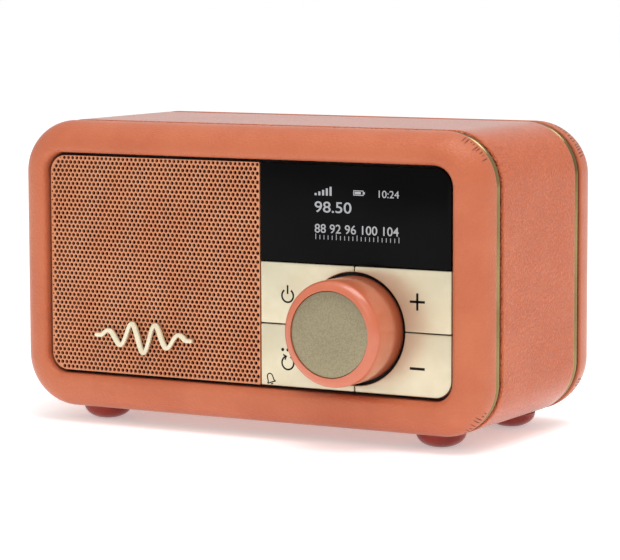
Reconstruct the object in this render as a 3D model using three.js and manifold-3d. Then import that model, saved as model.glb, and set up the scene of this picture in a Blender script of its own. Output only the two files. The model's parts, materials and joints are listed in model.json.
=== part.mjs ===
// A leather-covered portable radio, built as an assembly.
//
// Millimetres, +Z up, +X to the right of someone facing the radio, +Y towards its back.
// The origin is under the middle of the whole radio, on the surface that it stands on.
// Everything hangs in one group, whose own frame is simple to think in: x from the middle,
// y as depth behind the front face, z from the cabinet's middle height.

import * as THREE from "three";
import { mergeVertices } from "three/addons/utils/BufferGeometryUtils.js";
import Module from "manifold-3d";

const wasm = await Module();
wasm.setup();

// ---- Driving dimensions -------------------------------------------------------------

const BODY_WIDTH = 128;
const BODY_HEIGHT = 71;
const BODY_DEPTH = 64.4;
const CORNER_RADIUS = 13;
const FOOT_HEIGHT = 3.6;
const KNOB_PROUD = 10.4; // the knob's rim stands this far in front of the front face
const AERIAL_PROUD = 4.7; // the stowed aerial stands this far behind the rear face

const LEATHER = 1; // leather thickness
const WALL = 4; // leather and core together
const GAP = 0.1; // between glued or nested pieces

const FRAME_WIDTH = 8; // the padded border round the fascia and round the rear panel
const OPENING_RADIUS = 5; // corner radius of the fascia's opening
const REAR_OPENING_RADIUS = 7; // corner radius of the rear panel's opening
const OPENING_RISE = 0.6; // the opening's middle is this far above the cabinet's
const OPENING_HALF_HEIGHT = 27.3;

const FRONT_TRIM_AT = 9.35; // depth of each trim strip's middle
const REAR_TRIM_AT = 52.55;
const TRIM_WIDTH = 2.1;
const TRIM_SLOT = 3; // the trim with its two shadow gaps

const FASCIA_GAP = 0.8; // round the fascia pieces, inside the padded border
const FASCIA_DEPTH = 2; // the fascia's face is this far behind the front face
const SPLIT_X = 4.5; // line between the grille and the controls
const KEY_TOP = 3.8; // line between the keys and the display, from the cabinet's middle
const SEAM = 0.3; // gap between neighbouring fascia pieces
const KEY_THICKNESS = 1.6;
const KEY_TRAVEL = 0.6;
const CHASSIS_FRONT = 5.2;
const CHASSIS_BACK = 7.2;

const KNOB_RADIUS = 12.5;
const KNOB_WELL_RADIUS = 13.35;
const SHAFT_RADIUS = 3;

const SPEAKER_X = -25.5;
const SPEAKER_RADIUS = 22;

const REAR_PANEL_FRONT = BODY_DEPTH - 4;
const REAR_PANEL_BACK = BODY_DEPTH - 2;
const RADIATOR = { x: -12, z: -4, halfWidth: 35, halfHeight: 18.5 };
const EAR_RADIUS = 2.4; // of the ears that hold the aerial's hinge pin
const AERIAL = { x: 41, z: 22, depth: BODY_DEPTH + AERIAL_PROUD - EAR_RADIUS, radius: 2 };

// ---- Derived places -----------------------------------------------------------------

const HALF_WIDTH = BODY_WIDTH / 2;
const HALF_HEIGHT = BODY_HEIGHT / 2;
const OPENING_HALF_WIDTH = HALF_WIDTH - FRAME_WIDTH;
const FASCIA = {
  left: -OPENING_HALF_WIDTH + FASCIA_GAP,
  right: OPENING_HALF_WIDTH - FASCIA_GAP,
  bottom: OPENING_RISE - OPENING_HALF_HEIGHT + FASCIA_GAP,
  top: OPENING_RISE + OPENING_HALF_HEIGHT - FASCIA_GAP,
  radius: OPENING_RADIUS - FASCIA_GAP,
};
const KNOB_X = (SPLIT_X + FASCIA.right) / 2;
const KNOB_Z = (FASCIA.bottom + KEY_TOP) / 2;

const CORNER_SEGMENTS = 6;
const ROUND = 20; // facets of a visible round piece
const SMALL_ROUND = 14; // facets of a small or hidden one

// ---- Colours and finishes -----------------------------------------------------------

const finish = (color, roughness, metalness = 0) =>
  new THREE.MeshStandardMaterial({ color, roughness, metalness });
const FINISH = {
  leather: finish(0xd27354, 0.55),
  knob: finish(0xd87356, 0.35),
  grille: finish(0xd98f6b, 0.45, 0.3),
  cream: finish(0xded0ae, 0.4, 0.5),
  nickel: finish(0xa3977a, 0.4, 0.8),
  brass: finish(0x8c7348, 0.35, 0.9),
  window: finish(0x131314, 0.08),
  foot: finish(0x8f3a2c, 0.3),
  board: finish(0x1f5a36, 0.5),
  black: finish(0x1a1a1b, 0.6),
  core: finish(0x9c7650, 0.8),
  steel: finish(0xb9babc, 0.3, 0.9),
  rubber: finish(0x202020, 0.8),
  cell: finish(0x2c4f86, 0.4),
};

// ---- Solids -------------------------------------------------------------------------

/** A closed three.js geometry as a manifold-3d solid that faces out. */
function solid(geometry) {
  const bare = geometry.index ? geometry.toNonIndexed() : geometry.clone();
  bare.deleteAttribute("normal");
  bare.deleteAttribute("uv");
  const merged = mergeVertices(bare, 1e-4);
  const corners = merged.index.array;
  const outward = [];
  const inward = [];
  for (let i = 0; i < corners.length; i += 3) {
    const [a, b, c] = corners.slice(i, i + 3);
    if (a === b || b === c || a === c) continue;
    outward.push(a, b, c);
    inward.push(a, c, b);
  }
  const build = (triangles) =>
    new wasm.Manifold(
      new wasm.Mesh({
        numProp: 3,
        vertProperties: merged.attributes.position.array,
        triVerts: new Uint32Array(triangles),
      }),
    );
  const made = build(outward);
  return made.volume() > 0 ? made : build(inward);
}

/** Joins several solids into one. */
const union = (first, ...others) => others.reduce((whole, next) => whole.add(next), first);

/** Cuts several solids out of one. */
const cut = (whole, ...others) => others.reduce((rest, next) => rest.subtract(next), whole);

/** A manifold-3d solid as a geometry with flat shading. */
function geometryOf(made) {
  const { numProp, numVert, vertProperties, triVerts } = made.getMesh();
  const positions = new Float32Array(numVert * 3);
  for (let i = 0; i < numVert; i++) {
    positions.set(vertProperties.subarray(i * numProp, i * numProp + 3), i * 3);
  }
  const geometry = new THREE.BufferGeometry();
  geometry.setAttribute("position", new THREE.BufferAttribute(positions, 3));
  geometry.setIndex(new THREE.BufferAttribute(triVerts, 1));
  geometry.computeVertexNormals();
  return geometry;
}

const block = (x0, x1, y0, y1, z0, z1) =>
  solid(
    new THREE.BoxGeometry(x1 - x0, y1 - y0, z1 - z0).translate(
      (x0 + x1) / 2,
      (y0 + y1) / 2,
      (z0 + z1) / 2,
    ),
  );

/** A cylinder from one depth to another. */
const rod = (x, z, radius, from, to, facets = SMALL_ROUND) =>
  solid(
    new THREE.CylinderGeometry(radius, radius, to - from, facets).translate(x, (from + to) / 2, z),
  );

/** A flat shape, drawn in x and z, made solid from one depth to another. */
const plate = (shape, from, to, curveSegments = 6) =>
  solid(
    new THREE.ExtrudeGeometry(shape, { depth: to - from, bevelEnabled: false, curveSegments })
      .rotateX(Math.PI / 2)
      .translate(0, to, 0),
  );

/** A profile of [radius, depth] points turned about a front-to-back axis. */
const turned = (profile, facets = ROUND) =>
  solid(new THREE.LatheGeometry(profile.map(([r, y]) => new THREE.Vector2(r, y)), facets));

/** A rectangle with round corners. */
function roundedShape(left, right, bottom, top, radius) {
  const shape = new THREE.Shape();
  shape.absarc(right - radius, top - radius, radius, 0, Math.PI / 2);
  shape.absarc(left + radius, top - radius, radius, Math.PI / 2, Math.PI);
  shape.absarc(left + radius, bottom + radius, radius, Math.PI, 1.5 * Math.PI);
  shape.absarc(right - radius, bottom + radius, radius, 1.5 * Math.PI, 2 * Math.PI);
  return shape;
}

/** A rectangle with round corners about a middle. */
const roundedAt = (x, z, halfWidth, halfHeight, radius) =>
  roundedShape(x - halfWidth, x + halfWidth, z - halfHeight, z + halfHeight, radius);

/** The points of a rounded rectangle, all with the same count, so that they can be joined. */
function outline({ halfWidth, halfHeight, radius, rise = 0 }) {
  const corners = [
    [1, 1],
    [-1, 1],
    [-1, -1],
    [1, -1],
  ];
  return corners.flatMap(([sx, sz], quarter) =>
    Array.from({ length: CORNER_SEGMENTS + 1 }, (_, i) => {
      const angle = (quarter + i / CORNER_SEGMENTS) * (Math.PI / 2);
      return [
        sx * (halfWidth - radius) + radius * Math.cos(angle),
        rise + sz * (halfHeight - radius) + radius * Math.sin(angle),
      ];
    }),
  );
}

/** A closed ring: rounded rectangles at given depths, joined one to the next and round again. */
function ring(levels) {
  const loops = levels.map((level) => outline(level).map(([x, z]) => [x, level.depth, z]));
  const count = loops[0].length;
  const positions = [];
  loops.forEach((loop, j) => {
    const next = loops[(j + 1) % loops.length];
    for (let i = 0; i < count; i++) {
      const k = (i + 1) % count;
      positions.push(...loop[i], ...loop[k], ...next[k]);
      positions.push(...loop[i], ...next[k], ...next[i]);
    }
  });
  const geometry = new THREE.BufferGeometry();
  geometry.setAttribute("position", new THREE.Float32BufferAttribute(positions, 3));
  return solid(geometry);
}

/** The cabinet's outline, drawn in by an inset, at a depth. */
const bodyLevel = (inset, depth) => ({
  halfWidth: HALF_WIDTH - inset,
  halfHeight: HALF_HEIGHT - inset,
  radius: Math.max(CORNER_RADIUS - inset, 2),
  depth,
});

/** The padded front border's outline: it runs from the cabinet's to the fascia opening's. */
const frontLevel = (inset, depth) => {
  const share = inset / FRAME_WIDTH;
  return {
    halfWidth: HALF_WIDTH - inset,
    halfHeight: HALF_HEIGHT + (OPENING_HALF_HEIGHT - HALF_HEIGHT) * share,
    radius: CORNER_RADIUS + (OPENING_RADIUS - CORNER_RADIUS) * share,
    rise: OPENING_RISE * share,
    depth,
  };
};

/** The rear border's outline: the same corners, with its opening in the middle. */
const rearLevel = (inset, depth) => ({
  ...bodyLevel(inset, depth),
  radius: CORNER_RADIUS + ((REAR_OPENING_RADIUS - CORNER_RADIUS) * inset) / FRAME_WIDTH,
});

/** Points [inset, depth] along a quarter of an ellipse. */
const quarterArc = (inset, depth, acrossRadius, depthRadius, fromDegrees, steps) =>
  Array.from({ length: steps + 1 }, (_, i) => {
    const angle = THREE.MathUtils.degToRad(fromDegrees + (90 * i) / steps);
    return [inset + acrossRadius * Math.cos(angle), depth + depthRadius * Math.sin(angle)];
  });

// ---- The assembly -------------------------------------------------------------------

const radio = new THREE.Group();
radio.name = "leather_portable_radio";
const TOTAL_DEPTH = KNOB_PROUD + BODY_DEPTH + AERIAL_PROUD;
radio.position.set(0, KNOB_PROUD - TOTAL_DEPTH / 2, FOOT_HEIGHT + HALF_HEIGHT);

/** Adds a finished solid to the radio as a named piece, with an optional place of its own. */
function piece(name, made, material, place = [0, 0, 0]) {
  const mesh = new THREE.Mesh(geometryOf(made), material);
  mesh.name = name;
  mesh.position.set(...place);
  radio.add(mesh);
}

// ---- Cabinet: leather over wooden cores, with a brass strip in each seam -------------

const FRONT_EDGE = FRONT_TRIM_AT - TRIM_SLOT / 2;
const BAND_FRONT = FRONT_TRIM_AT + TRIM_SLOT / 2;
const BAND_BACK = REAR_TRIM_AT - TRIM_SLOT / 2;
const REAR_EDGE = REAR_TRIM_AT + TRIM_SLOT / 2;
const LIP = 1.4; // roll of the leather into an opening

/** Section of a padded border skin: the outer roll, the crest, and the lip into the opening. */
function borderSection(edge, face, rollWidth, lipEnd, inset) {
  const inwards = Math.sign(edge - face);
  const flip = ([s, depth]) => [s, face + inwards * depth];
  const rollDepth = Math.abs(edge - face) - 0.35;
  const roll = quarterArc(rollWidth, rollDepth, rollWidth - inset, rollDepth - inset, 180, 5);
  const lip = quarterArc(FRAME_WIDTH - LIP, LIP, LIP - inset * 0.7, LIP - inset, 270, 2);
  const rollOut = roll.map(flip);
  const lipOut = lip.map(flip);
  const end = lipOut[lipOut.length - 1][0];
  return [[inset, edge], ...rollOut, ...lipOut, [end, lipEnd]];
}

/** The leather skin of a border: its outer section, and back along the inner one. */
function borderSkin(level, edge, face, rollWidth, lipEnd) {
  const outer = borderSection(edge, face, rollWidth, lipEnd, 0);
  const inner = borderSection(edge, face, rollWidth, lipEnd, LEATHER).reverse();
  return ring([...outer, ...inner].map(([s, depth]) => level(s, depth)));
}

function addCabinet(feet) {
  const holes = feet.map(({ x, depth }) =>
    solid(
      new THREE.CylinderGeometry(2.5, 2.5, 10, SMALL_ROUND).rotateX(Math.PI / 2),
    ).translate([x, depth, -HALF_HEIGHT]),
  );

  piece(
    "front_leather_cover",
    borderSkin(frontLevel, FRONT_EDGE, 0, FRAME_WIDTH - LIP, CHASSIS_FRONT - 0.2),
    FINISH.leather,
  );
  const frontCore = [
    [LEATHER + GAP, FRONT_EDGE],
    [LEATHER + GAP + 0.1, 7.2],
    [2.1, 4.8],
    [3.6, 2.7],
    [5.4, 1.7],
    [FRAME_WIDTH - LEATHER - 0.5, 1.9],
    [FRAME_WIDTH - LEATHER - 0.3, CHASSIS_FRONT - 0.2],
    [WALL, CHASSIS_FRONT - 0.2],
    [WALL, FRONT_EDGE],
  ];
  piece("front_frame_core", ring(frontCore.map(([s, d]) => frontLevel(s, d))), FINISH.core);

  const bandEdge = 0.35;
  const band = [
    [0, BAND_FRONT + bandEdge],
    [0, BAND_BACK - bandEdge],
    [bandEdge, BAND_BACK],
    [LEATHER, BAND_BACK],
    [LEATHER, BAND_FRONT],
    [bandEdge, BAND_FRONT],
  ];
  piece(
    "side_leather_wrap",
    cut(ring(band.map(([s, d]) => bodyLevel(s, d))), ...holes),
    FINISH.leather,
  );
  const core = [
    [LEATHER + GAP, BAND_FRONT],
    [LEATHER + GAP, BAND_BACK],
    [WALL, BAND_BACK],
    [WALL, BAND_FRONT],
  ];
  piece("cabinet_core", cut(ring(core.map(([s, d]) => bodyLevel(s, d))), ...holes), FINISH.core);

  for (const [name, middle] of [
    ["front_trim_strip", FRONT_TRIM_AT],
    ["rear_trim_strip", REAR_TRIM_AT],
  ]) {
    const half = TRIM_WIDTH / 2;
    const bead = [
      [0.7, middle - half],
      [0.3, middle - half * 0.6],
      [0.2, middle],
      [0.3, middle + half * 0.6],
      [0.7, middle + half],
      [WALL, middle + half],
      [WALL, middle - half],
    ];
    piece(name, ring(bead.map(([s, d]) => bodyLevel(s, d))), FINISH.brass);
  }

  const rearRoll = 5;
  piece(
    "rear_leather_cover",
    borderSkin(rearLevel, REAR_EDGE, BODY_DEPTH, rearRoll, REAR_PANEL_FRONT + 0.2),
    FINISH.leather,
  );
  const flangeBack = REAR_PANEL_FRONT - 0.1;
  const rearCore = [
    [LEATHER + GAP, REAR_EDGE],
    [1.35, BODY_DEPTH - 7.4],
    [1.95, BODY_DEPTH - 4.9],
    [2.85, BODY_DEPTH - 2.9],
    [4, BODY_DEPTH - 1.8],
    [FRAME_WIDTH - LEATHER - 0.6, BODY_DEPTH - 1.5],
    [FRAME_WIDTH - LEATHER - 0.3, flangeBack + 0.2],
    [FRAME_WIDTH - LEATHER - 0.3, flangeBack],
    [FRAME_WIDTH + 1.5, flangeBack],
    [FRAME_WIDTH + 1.5, flangeBack - 2],
    [WALL, flangeBack - 2],
    [WALL, REAR_EDGE],
  ];
  const bosses = panelScrewPlaces().map(([x, z]) => rod(x, z, 3.5, flangeBack - 8, flangeBack));
  const pilots = panelScrewPlaces().map(([x, z]) => rod(x, z, 1.15, flangeBack - 7, flangeBack + 1));
  piece(
    "rear_frame_core",
    cut(union(ring(rearCore.map(([s, d]) => rearLevel(s, d))), ...bosses), ...pilots),
    FINISH.core,
  );
}

// ---- Feet: turned domes, each with a flat and a spigot through the cabinet's floor ----

const FEET = [
  { name: "foot_front_left", x: -46.7, depth: 13.7 },
  { name: "foot_front_right", x: 46.7, depth: 13.7 },
  { name: "foot_rear_left", x: -47.9, depth: 49 },
  { name: "foot_rear_right", x: 47.9, depth: 49 },
];

function addFeet() {
  const baseRadius = 5.8;
  const flatRadius = 2.6;
  const bulge = 6.1; // radius of the dome
  const middle = FOOT_HEIGHT + 0.4; // height of the dome's middle
  const steps = 5;
  const dome = Array.from({ length: steps + 1 }, (_, i) => {
    const height = (FOOT_HEIGHT * i) / steps;
    const radius = Math.sqrt(Math.max(bulge ** 2 - (middle - height) ** 2, 0));
    return [Math.max(Math.min(radius, baseRadius + 0.3), flatRadius), height];
  });
  const profile = [
    [0, 0],
    [flatRadius, 0],
    ...dome.slice(1, -1),
    [baseRadius, FOOT_HEIGHT - 0.05],
    [2.2, FOOT_HEIGHT - 0.05],
    [2.2, FOOT_HEIGHT + WALL + 1],
    [0, FOOT_HEIGHT + WALL + 1],
  ];
  for (const { name, x, depth } of FEET) {
    const made = solid(
      new THREE.LatheGeometry(profile.map(([r, y]) => new THREE.Vector2(r, y)), 20).rotateX(
        Math.PI / 2,
      ),
    );
    piece(name, made, FINISH.foot, [x, depth, -HALF_HEIGHT - FOOT_HEIGHT]);
  }
}

// ---- Fascia: chassis, grille, badge and display ---------------------------------------

const KEYS = [
  { name: "power_key", side: -1, row: 1 },
  { name: "menu_key", side: -1, row: -1 },
  { name: "volume_up_key", side: 1, row: 1 },
  { name: "volume_down_key", side: 1, row: -1 },
].map((key) => ({
  ...key,
  // The stem stands behind the key's outer half, where a finger presses.
  stemX: KNOB_X + key.side * 17,
  stemZ: KNOB_Z + key.row * 9,
}));

const fasciaShape = () =>
  roundedShape(FASCIA.left, FASCIA.right, FASCIA.bottom, FASCIA.top, FASCIA.radius);

/** A plate with the fascia's own corners, cut down to a rectangle of it. */
const fasciaPlate = (left, right, bottom, top, from, to) =>
  plate(fasciaShape(), from, to).intersect(
    block(left, right, from - 1, to + 1, bottom, top),
  );

/** A frame of the given width along the edge of a rectangle of the fascia. */
function ledge(left, right, bottom, top, width, from, to) {
  const inside = block(left + width, right - width, from - 1, to + 1, bottom + width, top - width);
  return fasciaPlate(left, right, bottom, top, from, to).subtract(inside);
}

function addFascia() {
  const grilleRight = SPLIT_X - SEAM / 2;
  const controlsLeft = SPLIT_X + SEAM / 2;
  const far = 70; // past the fascia's edge on every side

  const board = plate(
    roundedAt(0, OPENING_RISE, OPENING_HALF_WIDTH + 3.4, OPENING_HALF_HEIGHT + 3.4, 9),
    CHASSIS_FRONT,
    CHASSIS_BACK,
  );
  const grilleLedge = ledge(FASCIA.left, grilleRight, FASCIA.bottom, FASCIA.top, 2.5, 3.6, 5.3);
  const windowLedge = ledge(controlsLeft, FASCIA.right, KEY_TOP + 0.2, FASCIA.top, 2.2, 3.5, 5.3);
  const stems = KEYS.map(({ stemX, stemZ }) => rod(stemX, stemZ, 1.85, 4, 8));
  piece(
    "front_chassis",
    cut(
      union(board, grilleLedge, windowLedge),
      rod(SPEAKER_X, OPENING_RISE, 19, 4, 8, ROUND),
      rod(KNOB_X, KNOB_Z, 3.75, 4, 8),
      ...stems,
    ),
    FINISH.black,
  );

  piece(
    "speaker_grille",
    fasciaPlate(-far, grilleRight, -far, far, FASCIA_DEPTH, FASCIA_DEPTH + 1),
    FINISH.grille,
  );
  piece(
    "grille_cloth",
    fasciaPlate(FASCIA.left + 0.4, grilleRight - 0.4, -26.1, 26.7, 3.1, 3.5),
    FINISH.black,
  );
  piece("badge", badge(), FINISH.cream);
  piece(
    "display_window",
    fasciaPlate(controlsLeft, far, KEY_TOP + SEAM / 2, far, FASCIA_DEPTH - 0.1, 3.4),
    FINISH.window,
  );
  const displayX = KNOB_X + 1;
  const displayZ = (KEY_TOP + FASCIA.top) / 2;
  piece(
    "display_module",
    block(displayX - 20, displayX + 20, 3.5, 5.1, displayZ - 8.4, displayZ + 8.4),
    FINISH.black,
  );
}

/** A level sound wave that swells and fades between two plain ends, off the grille on two posts. */
function badge() {
  const front = 0.7;
  const back = 1.6;
  const half = 0.55;
  const middle = { x: -28, z: -16.6 };
  const length = 24;
  const ends = 2;
  const halfWaves = 7;
  const wave = (t) => {
    const swell = 0.3 + 0.7 * Math.sin(Math.PI * t) ** 2;
    const height = 3.8 * swell * Math.sin(Math.PI * halfWaves * t);
    return [middle.x + (t - 0.5) * length, middle.z + height];
  };
  const reach = length / 2 + ends;
  const crests = Array.from({ length: halfWaves }, (_, i) => {
    return [0.27, 0.5, 0.73].map((share) => wave((i + share) / halfWaves));
  });
  const knots = [
    [middle.x - reach, middle.z],
    wave(0),
    ...crests.flat(),
    wave(1),
    [middle.x + reach, middle.z],
  ];
  const strokes = knots.slice(1).flatMap(([xb, zb], i) => {
    const [xa, za] = knots[i];
    const size = Math.hypot(xb - xa, zb - za);
    const across = [(-(zb - za) / size) * half, ((xb - xa) / size) * half];
    const quad = new THREE.Shape([
      new THREE.Vector2(xa + across[0], za + across[1]),
      new THREE.Vector2(xa - across[0], za - across[1]),
      new THREE.Vector2(xb - across[0], zb - across[1]),
      new THREE.Vector2(xb + across[0], zb + across[1]),
    ]);
    return [plate(quad, front, back), rod(xb, zb, half, front, back, 6)];
  });
  const posts = [-1, 1].map((side) => {
    return rod(middle.x + side * (reach - 0.7), middle.z, 0.4, front + 0.3, FASCIA_DEPTH - 0.02, 10);
  });
  return union(...strokes, ...posts);
}

// ---- Controls: four keys round a knob on a push-and-turn encoder ----------------------

function addControls() {
  const back = FASCIA_DEPTH + KEY_THICKNESS;
  const boardFront = 13.6;
  const switchFront = 9.4;
  const stemEnd = switchFront - KEY_TRAVEL - 0.1;
  const far = 70;
  for (const { name, side, row, stemX, stemZ } of KEYS) {
    const left = side < 0 ? SPLIT_X + SEAM / 2 : KNOB_X + SEAM / 2;
    const right = side < 0 ? KNOB_X - SEAM / 2 : far;
    const bottom = row < 0 ? -far : KNOB_Z + SEAM / 2;
    const top = row < 0 ? KNOB_Z - SEAM / 2 : KEY_TOP - SEAM / 2;
    const face = fasciaPlate(left, right, bottom, top, FASCIA_DEPTH, back);
    const well = rod(KNOB_X, KNOB_Z, KNOB_WELL_RADIUS, 0, 8, 48);
    const stem = rod(stemX, stemZ, 1.5, back - 0.5, stemEnd);
    piece(name, union(cut(face, well), stem), FINISH.cream);

    const switchName = name.replace("_key", "_switch");
    const cap = rod(stemX, stemZ, 1.7, switchFront, switchFront + 1.2);
    const can = block(stemX - 3, stemX + 3, switchFront + 1, boardFront, stemZ - 3, stemZ + 3);
    piece(switchName, union(can, cap), FINISH.black);
  }
  piece(
    "control_board",
    block(SPLIT_X + 1, FASCIA.right - 1, boardFront, boardFront + 1.6, FASCIA.bottom + 2, KEY_TOP - 1),
    FINISH.board,
  );

  const place = [KNOB_X, 0, KNOB_Z];
  const rim = -KNOB_PROUD;
  const capRadius = 10.1;
  const round = 2.2;
  const skirtEnd = 3.3;
  const edgeSteps = 4;
  const edge = Array.from({ length: edgeSteps + 1 }, (_, i) => {
    const angle = (Math.PI / 2) * (i / edgeSteps);
    return [KNOB_RADIUS - round + round * Math.sin(angle), rim + round - round * Math.cos(angle)];
  });
  const knob = [
    [SHAFT_RADIUS + 0.1, rim + 2.6],
    [SHAFT_RADIUS + 0.1, rim + 1.2],
    [capRadius + 0.1, rim + 1.2],
    [capRadius + 0.1, rim],
    ...edge,
    [KNOB_RADIUS, skirtEnd],
    [KNOB_RADIUS - 1.8, skirtEnd],
    [KNOB_RADIUS - 1.8, rim + 3.6],
    [4.8, rim + 3.6],
    [4.8, 2],
    [SHAFT_RADIUS + 0.1, 2],
    [SHAFT_RADIUS + 0.1, rim + 2.6],
  ];
  piece("tuning_knob", turned(knob, 28), FINISH.knob, place);
  const cap = [
    [0, rim + 1.1],
    [capRadius, rim + 1.1],
    [capRadius, rim + 0.4],
    [capRadius - 0.2, rim + 0.3],
    [0, rim + 0.3],
  ];
  piece("knob_cap", turned(cap, 28), FINISH.nickel, place);
  const shaft = [
    [0, rim + 1.3],
    [SHAFT_RADIUS, rim + 1.3],
    [SHAFT_RADIUS, 10.6],
    [0, 10.6],
  ];
  piece("encoder_shaft", turned(shaft, 24), FINISH.steel, place);

  const boreRadius = (SHAFT_RADIUS + 0.06) / Math.cos(Math.PI / 24);
  const bush = cut(rod(0, 0, 3.5, 3.2, 8.4, 24), rod(0, 0, boreRadius, 3, 9, 24));
  const can = cut(block(-6, 6, 8.2, boardFront, -6, 6), rod(0, 0, boreRadius, 8, 11, 24));
  const pocket = rod(0, 0, 4.2, 10.6, 12.9);
  piece("encoder_body", union(bush, cut(can, pocket)), FINISH.steel, place);
  const nut = cut(rod(0, 0, 5.2, 3.6, 5.1, 6), rod(0, 0, 3.7, 3, 6));
  piece("encoder_nut", nut, FINISH.steel, place);
  piece("encoder_plunger", rod(0, 0, 3.6, 10.7, 12, 20), FINISH.steel, place);
}

// ---- Loudspeaker ----------------------------------------------------------------------

function addSpeaker() {
  const place = [SPEAKER_X, 0, OPENING_RISE];
  const flange = CHASSIS_BACK + 0.1;
  const basket = [
    [19.2, flange],
    [SPEAKER_RADIUS, flange],
    [SPEAKER_RADIUS, flange + 1.2],
    [19.8, flange + 1.2],
    [14, flange + 9.6],
    [5.2, flange + 9.6],
    [5.2, flange + 8.6],
    [13.3, flange + 8.6],
    [19.2, flange + 0.9],
    [19.2, flange],
  ];
  const spokes = 6;
  const windows = Array.from({ length: spokes }, (_, i) =>
    solid(
      new THREE.BoxGeometry(12, 4.6, 8)
        .translate(17, flange + 5.4, 0)
        .rotateY((2 * Math.PI * i) / spokes),
    ),
  );
  piece("speaker_basket", cut(turned(basket), ...windows), FINISH.steel, place);

  const magnetFront = flange + 9.7;
  const magnet = [
    [0, magnetFront],
    [3.5, magnetFront],
    [3.5, magnetFront + 5.5],
    [4.7, magnetFront + 5.5],
    [4.7, magnetFront],
    [14.5, magnetFront],
    [14.5, magnetFront + 8],
    [0, magnetFront + 8],
  ];
  piece("speaker_magnet", turned(magnet), FINISH.steel, place);

  const coilEnd = magnetFront + 3;
  const cone = [
    [0, flange + 1.6],
    [3, flange + 2.1],
    [5, flange + 3.4],
    [16.2, flange + 0.5],
    [16.2, flange + 1],
    [6.2, flange + 5.6],
    [4.3, flange + 6.4],
    [4.3, coilEnd],
    [3.9, coilEnd],
    [3.9, flange + 5],
    [2.6, flange + 3],
    [0, flange + 2.4],
  ];
  piece("speaker_cone", turned(cone), FINISH.black, place);
  const surround = [
    [16.3, flange + 0.5],
    [17, flange - 0.5],
    [18.2, flange - 0.5],
    [19.1, flange + 0.4],
    [19.1, flange + 0.8],
    [18.1, flange + 0.1],
    [17.1, flange + 0.1],
    [16.3, flange + 1],
    [16.3, flange + 0.5],
  ];
  piece("speaker_surround", turned(surround), FINISH.rubber, place);
}

// ---- Rear: panel, passive bass radiator, sockets and screws ---------------------------

function panelScrewPlaces() {
  return [-1, 1].flatMap((side) => [-1, 1].map((row) => [side * 51, row * 22.3]));
}

const USB = { x: 29, z: -23, halfWidth: 4.5, halfHeight: 1.6 };
const JACK = { x: 42, z: -21.5, radius: 3 };

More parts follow.
